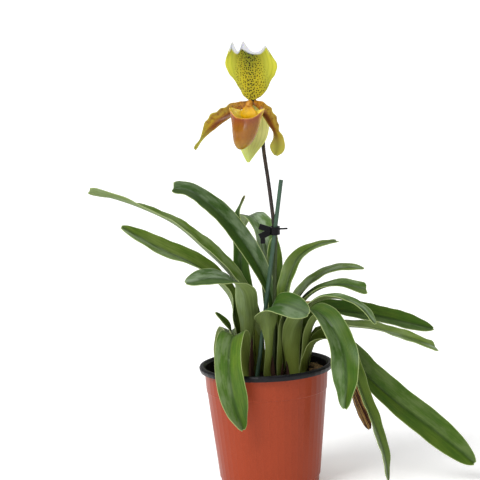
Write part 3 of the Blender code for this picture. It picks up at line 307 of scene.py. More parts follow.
class OrchidColours(bpy.types.PropertyGroup):
    """Colours that a user of the plant may change."""

    pot_outside: colour("Pot outside", "Terracotta-coloured plastic", "#923a1f")
    pot_inside: colour("Pot inside", "Dark inside and rim of the pot", "#131316")
    bark_dark: colour("Bark, damp", "Damp bark below the surface", "#2a1710")
    bark_pale: colour("Bark, dry", "Dry tops of the bark chips", "#a98560")
    leaf_green: colour("Leaf green", "Upper face of a leaf", "#3c6419")
    leaf_yellow_green: colour("Leaf yellow-green", "Upper face of a pale leaf", "#6b7f2b")
    # Painted sheen: the grey-green laid on leaves where light would glance off their cuticle.
    leaf_sheen_grey: colour("Leaf grey-green", "Waxy bloom on a leaf", "#8a9c80")
    # Deep green also stands for the painted shade along the midrib.
    leaf_deep: colour("Leaf deep green", "Groove over the midrib", "#1b3209")
    leaf_under: colour("Leaf underside", "Paler lower face of a leaf", "#7f9050")
    leaf_margin: colour("Leaf margin", "Thin pale line round a leaf", "#a9b878")
    leaf_base: colour("Leaf base", "Blanched foot of a leaf", "#657129")
    leaf_dry: colour("Dry leaf", "Dried leaf tissue", "#3f2015")
    leaf_dying: colour("Dying leaf", "Yellow-brown tissue of a dying leaf", "#b0924a")
    stem: colour("Flower stem", "Dark flower stem", "#1e1210")
    sepal_green: colour("Sepal green", "Edges of the upper sepal", "#b9b83a")
    sepal_deep: colour("Sepal centre", "Middle of the upper sepal", "#b3a41c")
    sepal_spot: colour("Sepal spots", "Spots on the upper sepal", "#1c1602")
    sepal_white: colour("Sepal border", "White border of the upper sepal", "#c0c2c7")
    lower_sepal: colour("Lower sepals", "Joined lower sepals", "#e6eaa0")
    petal_gold: colour("Petal gold", "Upper half of a petal", "#9c7f1e")
    petal_brown: colour("Petal brown", "Stripe along a petal", "#6a3810")
    petal_tip: colour("Petal tip", "Greenish end of a petal", "#989434")
    lip_brown: colour("Lip brown", "Front of the pouch", "#905a08")
    lip_olive: colour("Lip toe", "Toe and rim of the pouch", "#9c7710")
    lip_yellow: colour("Lip ears", "Inside and ears of the pouch", "#f4dc5c")
    staminode: colour("Staminode", "Shield in the middle of the bloom", "#dfb008")
    stake: colour("Stake", "Green coating of the stake", "#2f4c38")
    clip: colour("Clip", "Black clip", "#08080a")
    floor: colour("Floor", "Plain pale floor", "#ffffff")


class OrchidStudio(bpy.types.PropertyGroup):
    """Light of the studio."""

    key_strength: FloatProperty(
        name="Key light", description="Large soft light from the upper left", default=2.6, min=0, max=20)
    fill_strength: FloatProperty(
        name="Fill light", description="Smaller light from the right, which shines along the pot",
        default=0.15, min=0, max=20)
    front_strength: FloatProperty(
        name="Front light", description="Weak small light beside the camera, which glints on the lip",
        default=0.5, min=0, max=20)
    top_strength: FloatProperty(
        name="Top light", description="Soft light from above and behind", default=0.6, min=0, max=20)
    ambient: FloatProperty(name="Ambient", description="Even light from all round", default=0.3, min=0, max=4)


def smoothstep(t):
    """Eases from 0 to 1 as t goes from 0 to 1."""
    t = min(max(t, 0.0), 1.0)
    return t * t * (3 - 2 * t)


def between(table, t):
    """Value at t from pairs of (t, value), straight between them."""
    return float(np.interp(t, [row[0] for row in table], [row[1] for row in table]))


def hermite(u, span, start, start_slope, end, end_slope):
    """Value a share u of the way along one smooth piece of a curve."""
    return (
        (2 * u**3 - 3 * u**2 + 1) * start
        + (u**3 - 2 * u**2 + u) * span * start_slope
        + (3 * u**2 - 2 * u**3) * end
        + (u**3 - u**2) * span * end_slope)


def flow(table, t):
    """Value at t on a smooth curve through pairs of (t, value)."""
    x, y = np.array(table, float).T
    slopes = np.gradient(y, x)
    i = int(np.clip(np.searchsorted(x, t) - 1, 0, len(x) - 2))
    span = x[i + 1] - x[i]
    return float(hermite((t - x[i]) / span, span, y[i], slopes[i], y[i + 1], slopes[i + 1]))


def plant_point(x, y, z):
    """World place in metres of a route point in mm, with the lean of the plant added."""
    return Vector((x + LEAN * (z - CROWN_TOP / MM), y, z - LEAN * x)) * MM


def travelled(path):
    """Length of the path up to each of its points."""
    return np.concatenate([[0], np.cumsum(np.linalg.norm(np.diff(path, axis=0), axis=1))])


def smooth_path(points, fractions, first_way=None):
    """Points at fractions of the length of a smooth curve through the given points."""
    p = np.array([tuple(q) for q in points], float)
    chord = np.linalg.norm(np.diff(p, axis=0), axis=1)
    ways = np.gradient(p, np.concatenate([[0], np.cumsum(chord)]), axis=0)
    if first_way is not None:
        ways[0] = first_way
    u = np.linspace(0, 1, 25)[:, None]
    dense = np.concatenate([
        hermite(u, span, p[i], ways[i], p[i + 1], ways[i + 1]) for i, span in enumerate(chord)])
    run = travelled(dense)
    wanted = np.array(fractions) * run[-1]
    return np.stack([np.interp(wanted, run, dense[:, k]) for k in range(3)], axis=1)


def directions(path):
    """Unit direction of travel at each point of a path."""
    ways = np.gradient(path, axis=0)
    return ways / np.linalg.norm(ways, axis=1)[:, None]


def put(name, data):
    """New object in the scene."""
    made = bpy.data.objects.new(name, data)
    bpy.context.scene.collection.objects.link(made)
    return made


def make_piece(name, points, faces, materials, marks=None, face_slots=None, sharp=math.radians(60)):
    """Mesh piece that rides on the model, with named numbers at its points for the materials."""
    mesh = bpy.data.meshes.new(name)
    mesh.from_pydata([tuple(p) for p in points], [], faces)
    mesh.shade_smooth()
    mesh.set_sharp_from_angle(angle=sharp)
    for key, values in (marks or {}).items():
        layer = mesh.attributes.new(key, "FLOAT", "POINT")
        layer.data.foreach_set("value", np.array(values, np.float32))
    for one in materials:
        mesh.materials.append(one)
    if face_slots is not None:
        mesh.polygons.foreach_set("material_index", np.array(face_slots, np.int32))
    made = put(name, mesh)
    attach(made, "root")
    return made


def ring_faces(first, rings, around):
    """Faces between rings of points that follow each other."""
    faces = []
    for start in range(first, first + (rings - 1) * around, around):
        for k in range(around):
            j = (k + 1) % around
            faces.append((start + k, start + j, start + around + j, start + around + k))
    return faces


def capped_rings(rings, around):
    """Faces of a closed body made of rings, with a flat face at each end."""
    last = range((rings - 1) * around, rings * around)
    return [tuple(reversed(range(around))), *ring_faces(0, rings, around), tuple(last)]


def tube(path, radii, sides, last_way=None):
    """Points and faces of a closed round tube along a path, with flat ends."""
    ways = directions(path)
    if last_way is not None:
        ways[-1] = last_way
    across = np.cross(ways[0], (0.3, 1.0, 0.1))
    points = []
    for centre, way, radius in zip(path, ways, radii):
        across = across - way * (across @ way)
        across /= np.linalg.norm(across)
        other = np.cross(way, across)
        for k in range(sides):
            turn = 2 * math.pi * k / sides
            points.append(centre + radius * (across * math.cos(turn) + other * math.sin(turn)))
    return points, capped_rings(len(path), sides)


def blade(grid, thickness, edge_thickness):
    """Points, faces and face slots of a thin closed blade.

    Slot 0 is the side that the grid's normals point to, slot 1 the other side and slot 2
    the margin. On a leaf, slot 0 is the lower face.
    """
    grid = np.array(grid, float)
    rows, columns = grid.shape[:2]
    normal = np.cross(np.gradient(grid, axis=0), np.gradient(grid, axis=1))
    normal /= np.linalg.norm(normal, axis=2)[:, :, None]
    inward = np.minimum(np.arange(columns), np.arange(columns)[::-1])
    inward = np.minimum(inward[None, :], np.arange(rows)[::-1][:, None])
    half = edge_thickness / 2 + (thickness - edge_thickness) / 2 * np.clip(inward / 2, 0, 1)
    front = grid + normal * half[:, :, None]
    back = grid - normal * half[:, :, None]
    points = list(front.reshape(-1, 3)) + list(back.reshape(-1, 3))
    below = rows * columns
    faces, slots = [], []
    for i in range(rows - 1):
        for k in range(columns - 1):
            a, b = i * columns + k, i * columns + k + 1
            c, d = a + columns, b + columns
            faces.append((a, c, d, b))
            faces.append((below + b, below + d, below + c, below + a))
            slots += [0, 1]
    border = [k for k in range(columns)]
    border += [i * columns + columns - 1 for i in range(1, rows)]
    border += [(rows - 1) * columns + k for k in range(columns - 2, -1, -1)]
    border += [i * columns for i in range(rows - 2, 0, -1)]
    for a, b in zip(border, border[1:] + border[:1]):
        faces.append((a, b, below + b, below + a))
        slots.append(2)
    return points, faces, slots


def twice(values):
    """Numbers of a grid for both faces of a blade."""
    flat = np.array(values, float).reshape(-1)
    return np.concatenate([flat, flat])


def feed(tree, socket, value):
    """Sets a socket, or links it where the value is a node or a socket itself."""
    if isinstance(value, bpy.types.Node):
        value = next(s for s in value.outputs if s.enabled)
    if isinstance(value, bpy.types.NodeSocket):
        tree.links.new(value, socket)
    else:
        socket.default_value = value


def add(tree, kind, *values, inputs=None, stops=(), **settings):
    """Adds one shader node with its settings and ramp stops, and links or sets its sockets.

    Values go to the sockets in the order in which the node shows them, and inputs go to
    the sockets that they name.
    """
    made = tree.nodes.new("ShaderNode" + kind)
    for name, value in settings.items():
        setattr(made, name, value)
    if stops:
        ramp = made.color_ramp
        ramp.elements[0].position, ramp.elements[1].position = stops[0][0], stops[-1][0]
        for position, _ in stops[1:-1]:
            ramp.elements.new(position)
        for element, (_, value) in zip(ramp.elements, stops):
            element.color = value if hasattr(value, "__len__") else (value, value, value, 1)
    sockets = [s for s in made.inputs if s.enabled]
    for socket, value in zip(sockets, values):
        feed(tree, socket, value)
    for key, value in (inputs or {}).items():
        feed(tree, next(s for s in sockets if s.name == key), value)
    return made


def start_material(name, roughness, **sockets):
    """New Principled material, with its tree and shader node."""
    made = bpy.data.materials.new(name)
    made.use_nodes = True
    shader = made.node_tree.nodes["Principled BSDF"]
    for key, value in {"Roughness": roughness, **sockets}.items():
        shader.inputs[key.replace("_", " ")].default_value = value
    return made, made.node_tree, shader


def marks_of(tree, *names):
    """Sockets that read named numbers of the mesh."""
    return [add(tree, "Attribute", attribute_name=name).outputs["Fac"] for name in names]


def cover(tree, shader, base, layers=()):
    """Lays colours over a base colour, each by its own share, and gives the shader the result."""
    for share, colour_over in layers:
        base = add(tree, "Mix", share, base, colour_over, data_type="RGBA")
    feed(tree, shader.inputs["Base Color"], base)


def emboss(tree, shader, height, strength, depth):
    """Gives the shader a fine relief, depth in metres."""
    relief = add(tree, "Bump", inputs={"Height": height, "Strength": strength, "Distance": depth})
    feed(tree, shader.inputs["Normal"], relief)


def tint(tree, shader, name, code):
    """Lays one more colour over a finished material by one named number of the mesh."""
    finished = shader.inputs["Base Color"].links[0].from_socket
    cover(tree, shader, finished, [(*marks_of(tree, name), linear(code))])


def leaf_materials(prefix):
    """Lower face, upper face and margin of a leaf: living leaf with a waxy cuticle, as grown.

    To the eye it is satin green with fine veins along its whole length, a dark line along
    the midrib that is painted shade in its fold, a grey sheen painted on in clouds, a paler
    matt underside, a thin pale line round it and a blanched foot. Where it dies it turns
    yellow and then brown in streaks.
    """
    c = bpy.context.scene.orchid_colours
    made = []
    # Per face: roughness, how much shade is painted along the midrib, the most sheen painted on, and how pale the
    # margin is.
    for face, rough, groove_shade, most_sheen, pale in (
            ("under", 0.6, 0.15, 0.5, 0.6), ("upper", 0.33, 0.62, 1.0, 0.6), ("margin", 0.5, 0.15, 1.0, 0.9)):
        mat, tree, shader = start_material(f"{prefix}_{face}", rough, IOR=1.45, Specular_IOR_Level=0.2)
        side, run, edge, seed = marks_of(tree, "side_mm", "run_mm", "edge_mm", "seed")
        yellow, grey, deep, dry, dying = marks_of(tree, "yellow", "grey", "deep", "dry", "dying")
        # Fibres are 0.9 mm wide and 26 mm long, clouds 6 mm wide and 19 mm long: the clouds vary the tone and lay the
        # painted sheen.
        slow = add(tree, "Math", run, 1 / (26 * FIBRES_PER_MM), operation="MULTIPLY")
        streak = add(tree, "TexNoise", add(tree, "CombineXYZ", side, slow, seed), FIBRES_PER_MM, 5.0)
        wide = add(tree, "Math", side, 1 / (6.06 * CLOUD_DETAIL), operation="MULTIPLY")
        cloud = add(tree, "TexNoise", add(tree, "CombineXYZ", wide, slow, seed), CLOUD_DETAIL, 4.0, 0.6)
        clouds = add(tree, "MapRange", cloud, 0.3, 0.7, -0.3, 0.3)
        tone = add(tree, "Math", yellow, clouds, operation="ADD", use_clamp=True)
        lines = add(tree, "ValToRGB", streak, stops=((0.4, 0.3), (0.62, 0)))
        near = add(tree, "Math", side, operation="ABSOLUTE")
        painted_sheen = add(tree, "MapRange", cloud, 0.42, 0.62, 0.1, most_sheen)
        patch = add(tree, "Math", dying, clouds, operation="ADD", use_clamp=True)
        shrunk = add(tree, "ValToRGB", streak, stops=(
            (0.4, linear("#3a1c10")), (0.5, c.leaf_dry), (0.6, linear("#b08a50"))))
        cover(tree, shader, c.leaf_green, [
            (tone, c.leaf_yellow_green),
            (deep, c.leaf_deep),
            (0.78 if face == "under" else 0.0, c.leaf_under),
            (lines, c.leaf_deep),
            # Painted shade: darker along the midrib, where its fold would shade it, most on the upper face.
            (add(tree, "MapRange", near, 0.3, 2.6, groove_shade, 0.0), c.leaf_deep),
            # Painted sheen: grey-green laid on in clouds, stronger on one half, standing for light glancing off the
            # cuticle.
            (add(tree, "Math", painted_sheen, grey, operation="MULTIPLY"), c.leaf_sheen_grey),
            (add(tree, "MapRange", run, 12.0, 62.0, 0.85, 0.0), c.leaf_base),
            (add(tree, "MapRange", edge, 0.15, 0.75, pale, 0.0), c.leaf_margin),
            (add(tree, "Math", patch, dying, operation="MULTIPLY"), c.leaf_dying),
            (dry, shrunk),
        ])
        # Real veins are 0.4 mm apart, too fine for the render, so they are drawn wider.
        comb = add(tree, "Math", side, 2 * math.pi / VEIN_PITCH, operation="MULTIPLY")
        veins = add(tree, "Math", comb, operation="SINE")
        rise = add(tree, "Math", veins, 0.3, streak, operation="MULTIPLY_ADD")
        emboss(tree, shader, rise, 0.35, 0.12 * MM)
        made.append(mat)
    return made


def leaf_half_width(s, width, shares, base_half, tip_width):
    """Half the blade's width at fraction s of its length."""
    full = base_half + (width / 2 - base_half) * smoothstep(s / 0.45)
    full *= flow(list(zip(LEAF_SHARE_PLACES, (1, *shares, shares[-1]))), s)
    tip = (s - (1 - LEAF_TIP_SHARE)) / LEAF_TIP_SHARE
    if tip > 0:
        round_tip = math.sqrt(max(1 - tip * tip, 0))
        full *= max(round_tip, tip_width * (1 - 0.35 * max(tip - 0.93, 0) / 0.07))
    return full


def leaf_section(half, fold, curve, columns):
    """Places across one half-folded blade, as (sideways, upwards) from its midrib."""
    section = []
    for v in columns:
        run = abs(v) * half
        if abs(curve) < 1e-6:
            side, rise = run * math.cos(fold), run * math.sin(fold)
        else:
            side = (math.sin(fold + curve * run) - math.sin(fold)) / curve
            rise = (math.cos(fold) - math.cos(fold + curve * run)) / curve
        section.append((math.copysign(side, v), rise))
    return section


def leaf_frames(path, face):
    """Direction, sideways and upper-face vectors at each point of a midrib."""
    ways = directions(path)
    ways[0] = (0, 0, 1)
    keel = np.array([math.cos(face), math.sin(face)])
    flat = ways[:, :2] + 0.25 * keel
    sideways = np.stack([flat[:, 1], -flat[:, 0], np.zeros(len(path))], axis=1)
    sideways -= ways * np.sum(sideways * ways, axis=1)[:, None]
    sideways /= np.linalg.norm(sideways, axis=1)[:, None]
    return ways, sideways, np.cross(sideways, ways)


def build_leaf(name, materials):
    """One strap leaf with waved margins and its own tip, in place of the plain one."""
    sizes = bpy.context.scene.orchid_sizes
    growth, ring, width, opens, face, fold_up, rolls, shares, (yellow, grey, deep), route = LEAVES[name]
    tip_width, skew = LEAF_TIPS.get(name, (LEAF_TIP_WIDTH, 0))
    growth = GROWTHS[growth]
    face = math.radians(face)
    draw = random.Random(name)
    x, y = growth["at"]
    radius = growth["radius"] - ring * SHEATH_PITCH
    base = Vector((x + radius * math.cos(face), y + radius * math.sin(face), CROWN_TOP + GAP))
    stations, columns = sizes.leaf_stations, sizes.leaf_columns // 2 * 2 + 1
    s = 1 - (1 - np.linspace(0, 1, stations)) ** 1.15
    path = smooth_path([base, *(plant_point(*p) for p in route)], s, first_way=(0, 0, 1))
    run = travelled(path)
    base_half = min(LEAF_BASE_SHARE * width * MM, 1.25 * radius)
    ways, sideways, upper = leaf_frames(path, face)
    share = np.linspace(-1, 1, columns)
    share = np.sign(share) * np.abs(share) ** 0.85
    waves = [
        (draw.uniform(0.1, 0.2), draw.uniform(0, 6.28), draw.uniform(0.28, 0.5), draw.uniform(0, 6.28))
        for _ in ("left", "right")]
    grid, across_mm, edge_mm = [], [], []
    for i in range(stations):
        opened = smoothstep((s[i] * run[-1] - opens * MM) / LEAF_OPENING)
        curve = (1 - opened) / radius - opened * LEAF_OUTWARD_CURL
        fold = math.radians(fold_up) * opened * (1 + (LEAF_TIP_FOLD - 1) * smoothstep((s[i] - 0.5) * 2))
        half = leaf_half_width(s[i], width * MM, shares, base_half, tip_width)
        roll = math.radians(flow(list(zip(LEAF_ROLL_PLACES, (0, *rolls))), s[i]))
        side = sideways[i] * math.cos(roll) + upper[i] * math.sin(roll)
        up = upper[i] * math.cos(roll) - sideways[i] * math.sin(roll)
        late = smoothstep((s[i] - LEAF_NOTCH_FROM) / (1 - LEAF_NOTCH_FROM))
        row, sides, edges = [], [], []
        for v, (across, rise) in zip(share, leaf_section(half, fold, curve, share)):
            slow, first, quick, second = waves[0 if v < 0 else 1]
            wave = math.sin(run[i] / MM * slow + first) + 0.5 * math.sin(run[i] / MM * quick + second)
            lift = sizes.margin_wave * wave * opened * v * v
            point = path[i] + side * across + up * (rise + lift)
            reach = LEAF_NOTCH * abs(v) + skew * MM * v / 2
            row.append(point + ways[i] * reach * late)
            sides.append(v * half / MM)
            edges.append(min((1 - abs(v)) * half, (run[-1] - run[i])) / MM)
        grid.append(row)
        across_mm.append(sides)
        edge_mm.append(edges)
    along = twice(np.repeat(s[:, None], columns, axis=1))
    points, faces, slots = blade(grid, sizes.leaf_thickness, LEAF_EDGE)
    whole = np.ones(len(points))
    # One half of a leaf lies more across the light than the other, so the grey sheen is painted stronger on one half,
    # chosen at random.
    sheen_half = 1 if draw.random() < 0.5 else -1
    marks = {
        "side_mm": twice(across_mm), "run_mm": twice(np.repeat(run[:, None] / MM, columns, axis=1)),
        "edge_mm": twice(edge_mm), "yellow": whole * yellow, "deep": whole * deep,
        "grey": grey * (1 + 1.2 * (1 - grey) * np.tanh(2 * twice(across_mm)) * sheen_half),
        "seed": whole * draw.uniform(0, 50)}
    for key, (start, length, most) in LEAF_DECAY.get(name, {}).items():
        marks[key] = np.clip((along - start) / length, 0, 1) * most
    return make_piece(name + "_blade", points, faces, materials, marks, slots)


def plain_material(name, roughness, shades, grain, stretch=(1, 1, 1), relief=0.1 * MM, **sockets):
    """Material whose colour runs through a few shades, with grains of a size given in mm."""
    mat, tree, shader = start_material(name, roughness, **sockets)
    place = add(tree, "TexCoord").outputs["Object"]
    drawn_out = add(tree, "Mapping", inputs={"Vector": place, "Scale": stretch})
    noise = add(tree, "TexNoise", drawn_out, 1 / (grain * MM), 6.0, 0.6)
    last = len(shades) - 1
    stops = [(0.34 + 0.32 * k / last, one) for k, one in enumerate(shades)]
    cover(tree, shader, add(tree, "ValToRGB", noise, stops=stops))
    emboss(tree, shader, noise, 0.6, relief)
    return mat, tree, shader


def shade(code, factor):
    """Linear colour made darker or lighter by a factor."""
    return (*[min(v * factor, 1) for v in code[:3]], 1)


def pot_material():
    """Polypropylene sheet, thermoformed: two layers, terracotta colour outside and dark inside.

    To the eye it is a satin skin with soft scuffs, and the dark layer shows on the rolled rim.
    """
    c = bpy.context.scene.orchid_colours
    mat, tree, shader = start_material("pot_polypropylene", 0.34, IOR=1.49, Specular_IOR_Level=0.17)
    coords = add(tree, "TexCoord")
    place = coords.outputs["Object"]
    flat = add(tree, "VectorMath", place, (1, 1, 0), operation="MULTIPLY")
    facing = add(tree, "VectorMath", flat, coords.outputs["Normal"], operation="DOT_PRODUCT")
    inner = add(tree, "Math", facing, -0.004, operation="LESS_THAN")
    height = add(tree, "SeparateXYZ", place).outputs["Z"]
    rim = add(tree, "Math", height, POT_RIM_FOOT, operation="GREATER_THAN")
    dark = add(tree, "Math", inner, rim, operation="MAXIMUM")
    # The grain of the sheet is 0.1 mm, too fine for the render, so it is drawn at 1.11 mm.
    specks = add(tree, "TexNoise", place, 1 / (1.11 * MM), 3.0)
    # Scuffs from handling are about 45 mm across.
    cloud = add(tree, "TexNoise", place, 1 / (45.5 * MM), 4.0)
    mixed = add(tree, "Math", specks, cloud, operation="ADD")
    outside, inside = (
        add(tree, "ValToRGB", mixed, stops=((0.7, shade(one, low)), (1.0, one), (1.3, shade(one, high))))
        for one, low, high in ((c.pot_outside, 0.94, 1.05), (c.pot_inside, 0.7, 1.5)))
    cover(tree, shader, outside, [(dark, inside)])
    feed(tree, shader.inputs["Roughness"], add(tree, "MapRange", cloud, 0.3, 0.7, 0.28, 0.42))
    emboss(tree, shader, specks, 0.25, 0.05 * MM)
    return mat


def finish_kept_nodes():
    """Gives the parts that keep their modelled shape their materials, and softens their edges."""
    c = bpy.context.scene.orchid_colours
    # Pine bark, broken: matt and dark with damp, in crumbs of about 6 mm.
    bark, *_ = plain_material(
        "mix_pine_bark", 0.9, (shade(c.bark_dark, 0.5), c.bark_dark, shade(c.bark_pale, 0.4)), 6.25, relief=1.2 * MM)
    # Living root, as grown: a dull spongy skin with patches of about 4 mm.
    root, *_ = plain_material("root_skin", 0.75, (linear("#4a3a20"), linear("#7d6a3c")), 3.85, relief=0.4 * MM)
    # Steel rod in a drawn plastic coat: satin, with drawing marks 2 mm wide and 10 mm long.
    stake, *_ = plain_material(
        "stake_plastic_coat", 0.5, (shade(c.stake, 0.7), c.stake, shade(c.stake, 1.3)), 2, (1, 1, 0.2))
    # Nylon, moulded: black with small sharp glints. Its 0.1 mm grain is drawn at 1.43 mm to show.
    clip, *_ = plain_material(
        "clip_nylon", 0.15, (c.clip, shade(c.clip, 1.6)), 1.43, relief=0.03 * MM, Specular_IOR_Level=0.12)
    looks = {"pot": pot_material(), "potting_mix": bark, "rootstock": root, "stake": stake, "stem_clip": clip}
    for node, one in looks.items():
        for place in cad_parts[node].material_slots:
            place.material = one
    for node in ("stem_clip", "stake"):
        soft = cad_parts[node].modifiers.new("soft_edges", "BEVEL")
        soft.width = SOFT_EDGE
        soft.segments = 2
        soft.limit_method = "ANGLE"
        soft.angle_limit = math.radians(40)


def chip_place(draw, n, length):
    """Place for one chip clear of the crowns, the stake and the wall, or None if none is found."""
    for _ in range(60):
        reach = (POT_INNER_RADIUS - length / 2) * math.sqrt(draw.random())
        turn = draw.uniform(0, 2 * math.pi)
        x, y = reach * math.cos(turn), reach * math.sin(turn)
        if n % 3 == 0:
            x, y = (draw.gauss(at, spread) * MM for at, spread in zip(HEAP_AT, HEAP_SPREAD))
            if math.hypot(x, y) > POT_INNER_RADIUS - length / 2:
                continue
        gaps = [math.dist((x, y), g["at"]) - g["radius"] - CHIP_GAP for g in GROWTHS.values()]
        gaps.append(math.dist((x, y), STAKE_AT) - STAKE_ROOM)
        if min(gaps) > length / 2:
            return x, y
    return None


def chip_material():
    """Pine bark, broken into chips: matt and fibrous, dark where damp and tan where its top has dried."""
    c = bpy.context.scene.orchid_colours
    mat, tree, shader = start_material("chip_pine_bark", 0.9)
    # The flakes of the bark are about 2.4 mm across.
    noise = add(tree, "TexNoise", add(tree, "TexCoord").outputs["Object"], 1 / (2.38 * MM), 7.0, 0.7)
    amount = add(tree, "Math", noise, 0.9, *marks_of(tree, "tint"), operation="MULTIPLY_ADD")
    cover(tree, shader, add(tree, "ValToRGB", amount, stops=(
        (0.3, shade(c.bark_dark, 0.6)), (0.6, c.bark_dark), (0.85, shade(c.bark_pale, 0.6)), (1.15, c.bark_pale))))
    emboss(tree, shader, noise, 0.8, 0.5 * MM)
    return mat


def build_chips():
    """Loose bark chips on the mix, every third one in the heap at the right."""
    sizes = bpy.context.scene.orchid_sizes
    draw = random.Random(5)
    around = CHIP_SIDES
    points, faces, tints = [], [], []
    for n in range(sizes.chips):
        length = sizes.chip_length * draw.uniform(0.35, 1)
        place = chip_place(draw, n, length)
        if place is None:
            continue
        x, y = place
        wide, tall = length * draw.uniform(0.4, 0.7), draw.uniform(1.6, 3.6) * MM
        spin = Matrix.Rotation(draw.uniform(0, 2 * math.pi), 3, "Z")
        tilt = Matrix.Rotation(draw.uniform(-0.4, 0.4), 3, "X") @ Matrix.Rotation(draw.uniform(-0.3, 0.3), 3, "Y")
        heap = HEAP_HEIGHT * math.exp(-((x / MM - HEAP_PEAK[0]) ** 2 + (y / MM - HEAP_PEAK[1]) ** 2) / 300)
        middle = Vector((x, y, MIX_TOP + (draw.uniform(0.2, 2.6) + heap * draw.random()) * MM))
        corners = [(draw.uniform(0.75, 1.1), draw.uniform(0, 1)) for _ in range(around)]
        shade_of_chip = draw.random()
        spots = []
        for level, grow in CHIP_LEVELS:
            for k, (corner, bump) in enumerate(corners):
                turn = 2 * math.pi * k / around
                out = corner * grow + draw.uniform(-0.05, 0.05)
                spots.append(Vector((
                    length / 2 * out * math.cos(turn), wide / 2 * out * math.sin(turn),
                    tall * level + 0.3 * MM * bump)))
        spots += [Vector((0, 0, tall * level)) for level in (-0.56, 0.56)]
        first = len(points)
        points += [middle + spin @ (tilt @ spot) for spot in spots]
        tints += [shade_of_chip] * len(spots)
        faces += ring_faces(first, len(CHIP_LEVELS), around)
        low = first + len(CHIP_LEVELS) * around
        for k in range(around):
            j = (k + 1) % around
            faces.append((low, first + j, first + k))
            faces.append((low + 1, low - around + k, low - around + j))
    made = make_piece("bark_chips", points, faces, [chip_material()], {"tint": tints}, sharp=math.radians(35))


def bloom_turn():
    """Rotation from the bloom's own axes to the world's."""
    lean = Matrix.Rotation(math.atan(LEAN), 3, "Y")
    return lean @ Matrix.Rotation(-BLOOM_TURN, 3, "Z") @ Matrix.Rotation(BLOOM_NOD, 3, "X")


def bloom_place(right, up, forward):
    """World place of a point given in mm along the bloom's own axes."""
    return plant_point(*BLOOM_AT) + bloom_turn() @ (Vector((right, -forward, up)) * MM)


def hairs(roots, normals, lengths, width=0.09 * MM):
    """Points and faces of fine three-sided hairs, each a closed spike rooted in a surface."""
    draw = random.Random(3)
    points, faces = [], []
    for root, normal, length in zip(roots, normals, lengths):
        normal = Vector(normal).normalized()
        side = normal.orthogonal().normalized()
        other = normal.cross(side)
        lean = side * draw.uniform(-0.3, 0.3) + other * draw.uniform(-0.3, 0.3)
        first = len(points)
        for k in range(3):
            turn = 2 * math.pi * k / 3
            points.append(Vector(root) - normal * 0.1 * MM + (side * math.cos(turn) + other * math.sin(turn)) * width)
        points.append(Vector(root) + (normal + lean) * length)
        faces += [(first, first + 2, first + 1)]
        faces += [(first + k, first + (k + 1) % 3, first + 3) for k in range(3)]
    return points, faces


def merged(*solids):
    """Several (points, faces) as one."""
    points, faces = [], []
    for some_points, some_faces in solids:
        faces += [tuple(len(points) + v for v in face) for face in some_faces]
        points += list(some_points)
    return points, faces


def build_stem():
    """Flower stem and ovary with their hairs."""
    sizes = bpy.context.scene.orchid_sizes
    c = bpy.context.scene.orchid_colours
    route = [Vector((*GROWTHS["c"]["at"], CROWN_TOP + GAP))]
    route += [plant_point(*p) for p in STEM_POINTS]
    route += [bloom_place(*p) for p in OVARY_POINTS]
    fractions = np.linspace(0, 1, STEM_STATIONS)
    pieces = STEM_STATIONS - 1
    path = smooth_path(route, fractions, first_way=(0, 0, 1))
    radii = [STEM_RADIUS * 1.15 * between(STEM_SWELL, f) for f in fractions]
    forward = np.array(bloom_turn() @ Vector((0, -1, 0)))
    solid = tube(path, radii, STEM_SIDES, forward)
    draw = random.Random(8)
    roots, normals, lengths = [], [], []
    for _ in range(sizes.stem_hairs):
        f = draw.uniform(0.2, 0.985)
        k = min(int(f * pieces), pieces - 1)
        way = Vector(path[k + 1] - path[k]).normalized()
        spot = Vector(path[k]).lerp(Vector(path[k + 1]), f * pieces - k)
        out = Matrix.Rotation(draw.uniform(0, 2 * math.pi), 3, way) @ way.orthogonal().normalized()
        roots.append(spot + out * radii[k])
        normals.append(out)
        lengths.append(sizes.hair_length * draw.uniform(0.5, 1))
    # Living flower stem: dull and almost black, with streaks 2.4 mm wide and green at its foot.
    mat, tree, shader = plain_material(
        "stem_skin", 0.6, (shade(c.stem, 0.6), c.stem, linear("#4d3a2a")), 2.38, (1, 1, 0.15), 0.2 * MM)
    tint(tree, shader, "green", "#3b4a1e")
    points, faces = merged(solid, hairs(roots, normals, lengths))
    green = [min(max((STEM_GREEN_TO - p[2]) / (12 * MM), 0), 1) for p in points]
    made = make_piece("flower_stem_fine", points, faces, [mat], {"green": green})
    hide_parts("flower_stem")


def build_bract():
    """Leafy sheath half wrapped round the ovary, with a pointed tip."""
    c = bpy.context.scene.orchid_colours
    route = [plant_point(*p) for p in STEM_POINTS[-2:]] + [bloom_place(*OVARY_POINTS[0])]
    rows, columns = 30, 15
    path = smooth_path(route, np.linspace(BRACT_SPAN[0], BRACT_SPAN[1], rows))
    ways = directions(path)
    steps = np.linspace(0, 1, len(BRACT_SPREADS))
    grid = []
    for i, (centre, way) in enumerate(zip(path, ways)):
        t = i / (rows - 1)
        back = np.array((0.35, 1.0, 0.0))
        back = back - way * (back @ way)
        back /= np.linalg.norm(back)
        side = np.cross(back, way)
        spread = math.radians(np.interp(t, steps, BRACT_SPREADS))
        radius = BRACT_RADIUS * np.interp(t, steps, BRACT_WIDENS)
        grid.append([
            centre + radius * (back * math.cos(v * spread) + side * math.sin(v * spread))
            for v in np.linspace(-1, 1, columns)])
    points, faces, _ = blade(grid, 0.65 * MM, 0.4 * MM)
    # Living bract: satin green that browns in streaks 4 mm wide.
    mat, *_ = plain_material(
        "bract_skin", 0.5, (linear("#4f5a1c"), linear("#7d8a34"), linear("#5d3a24")), 4.17, (1, 1, 0.15), 0.2 * MM)
    made = make_piece("bract_fine", points, faces, [mat])
    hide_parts("bract")


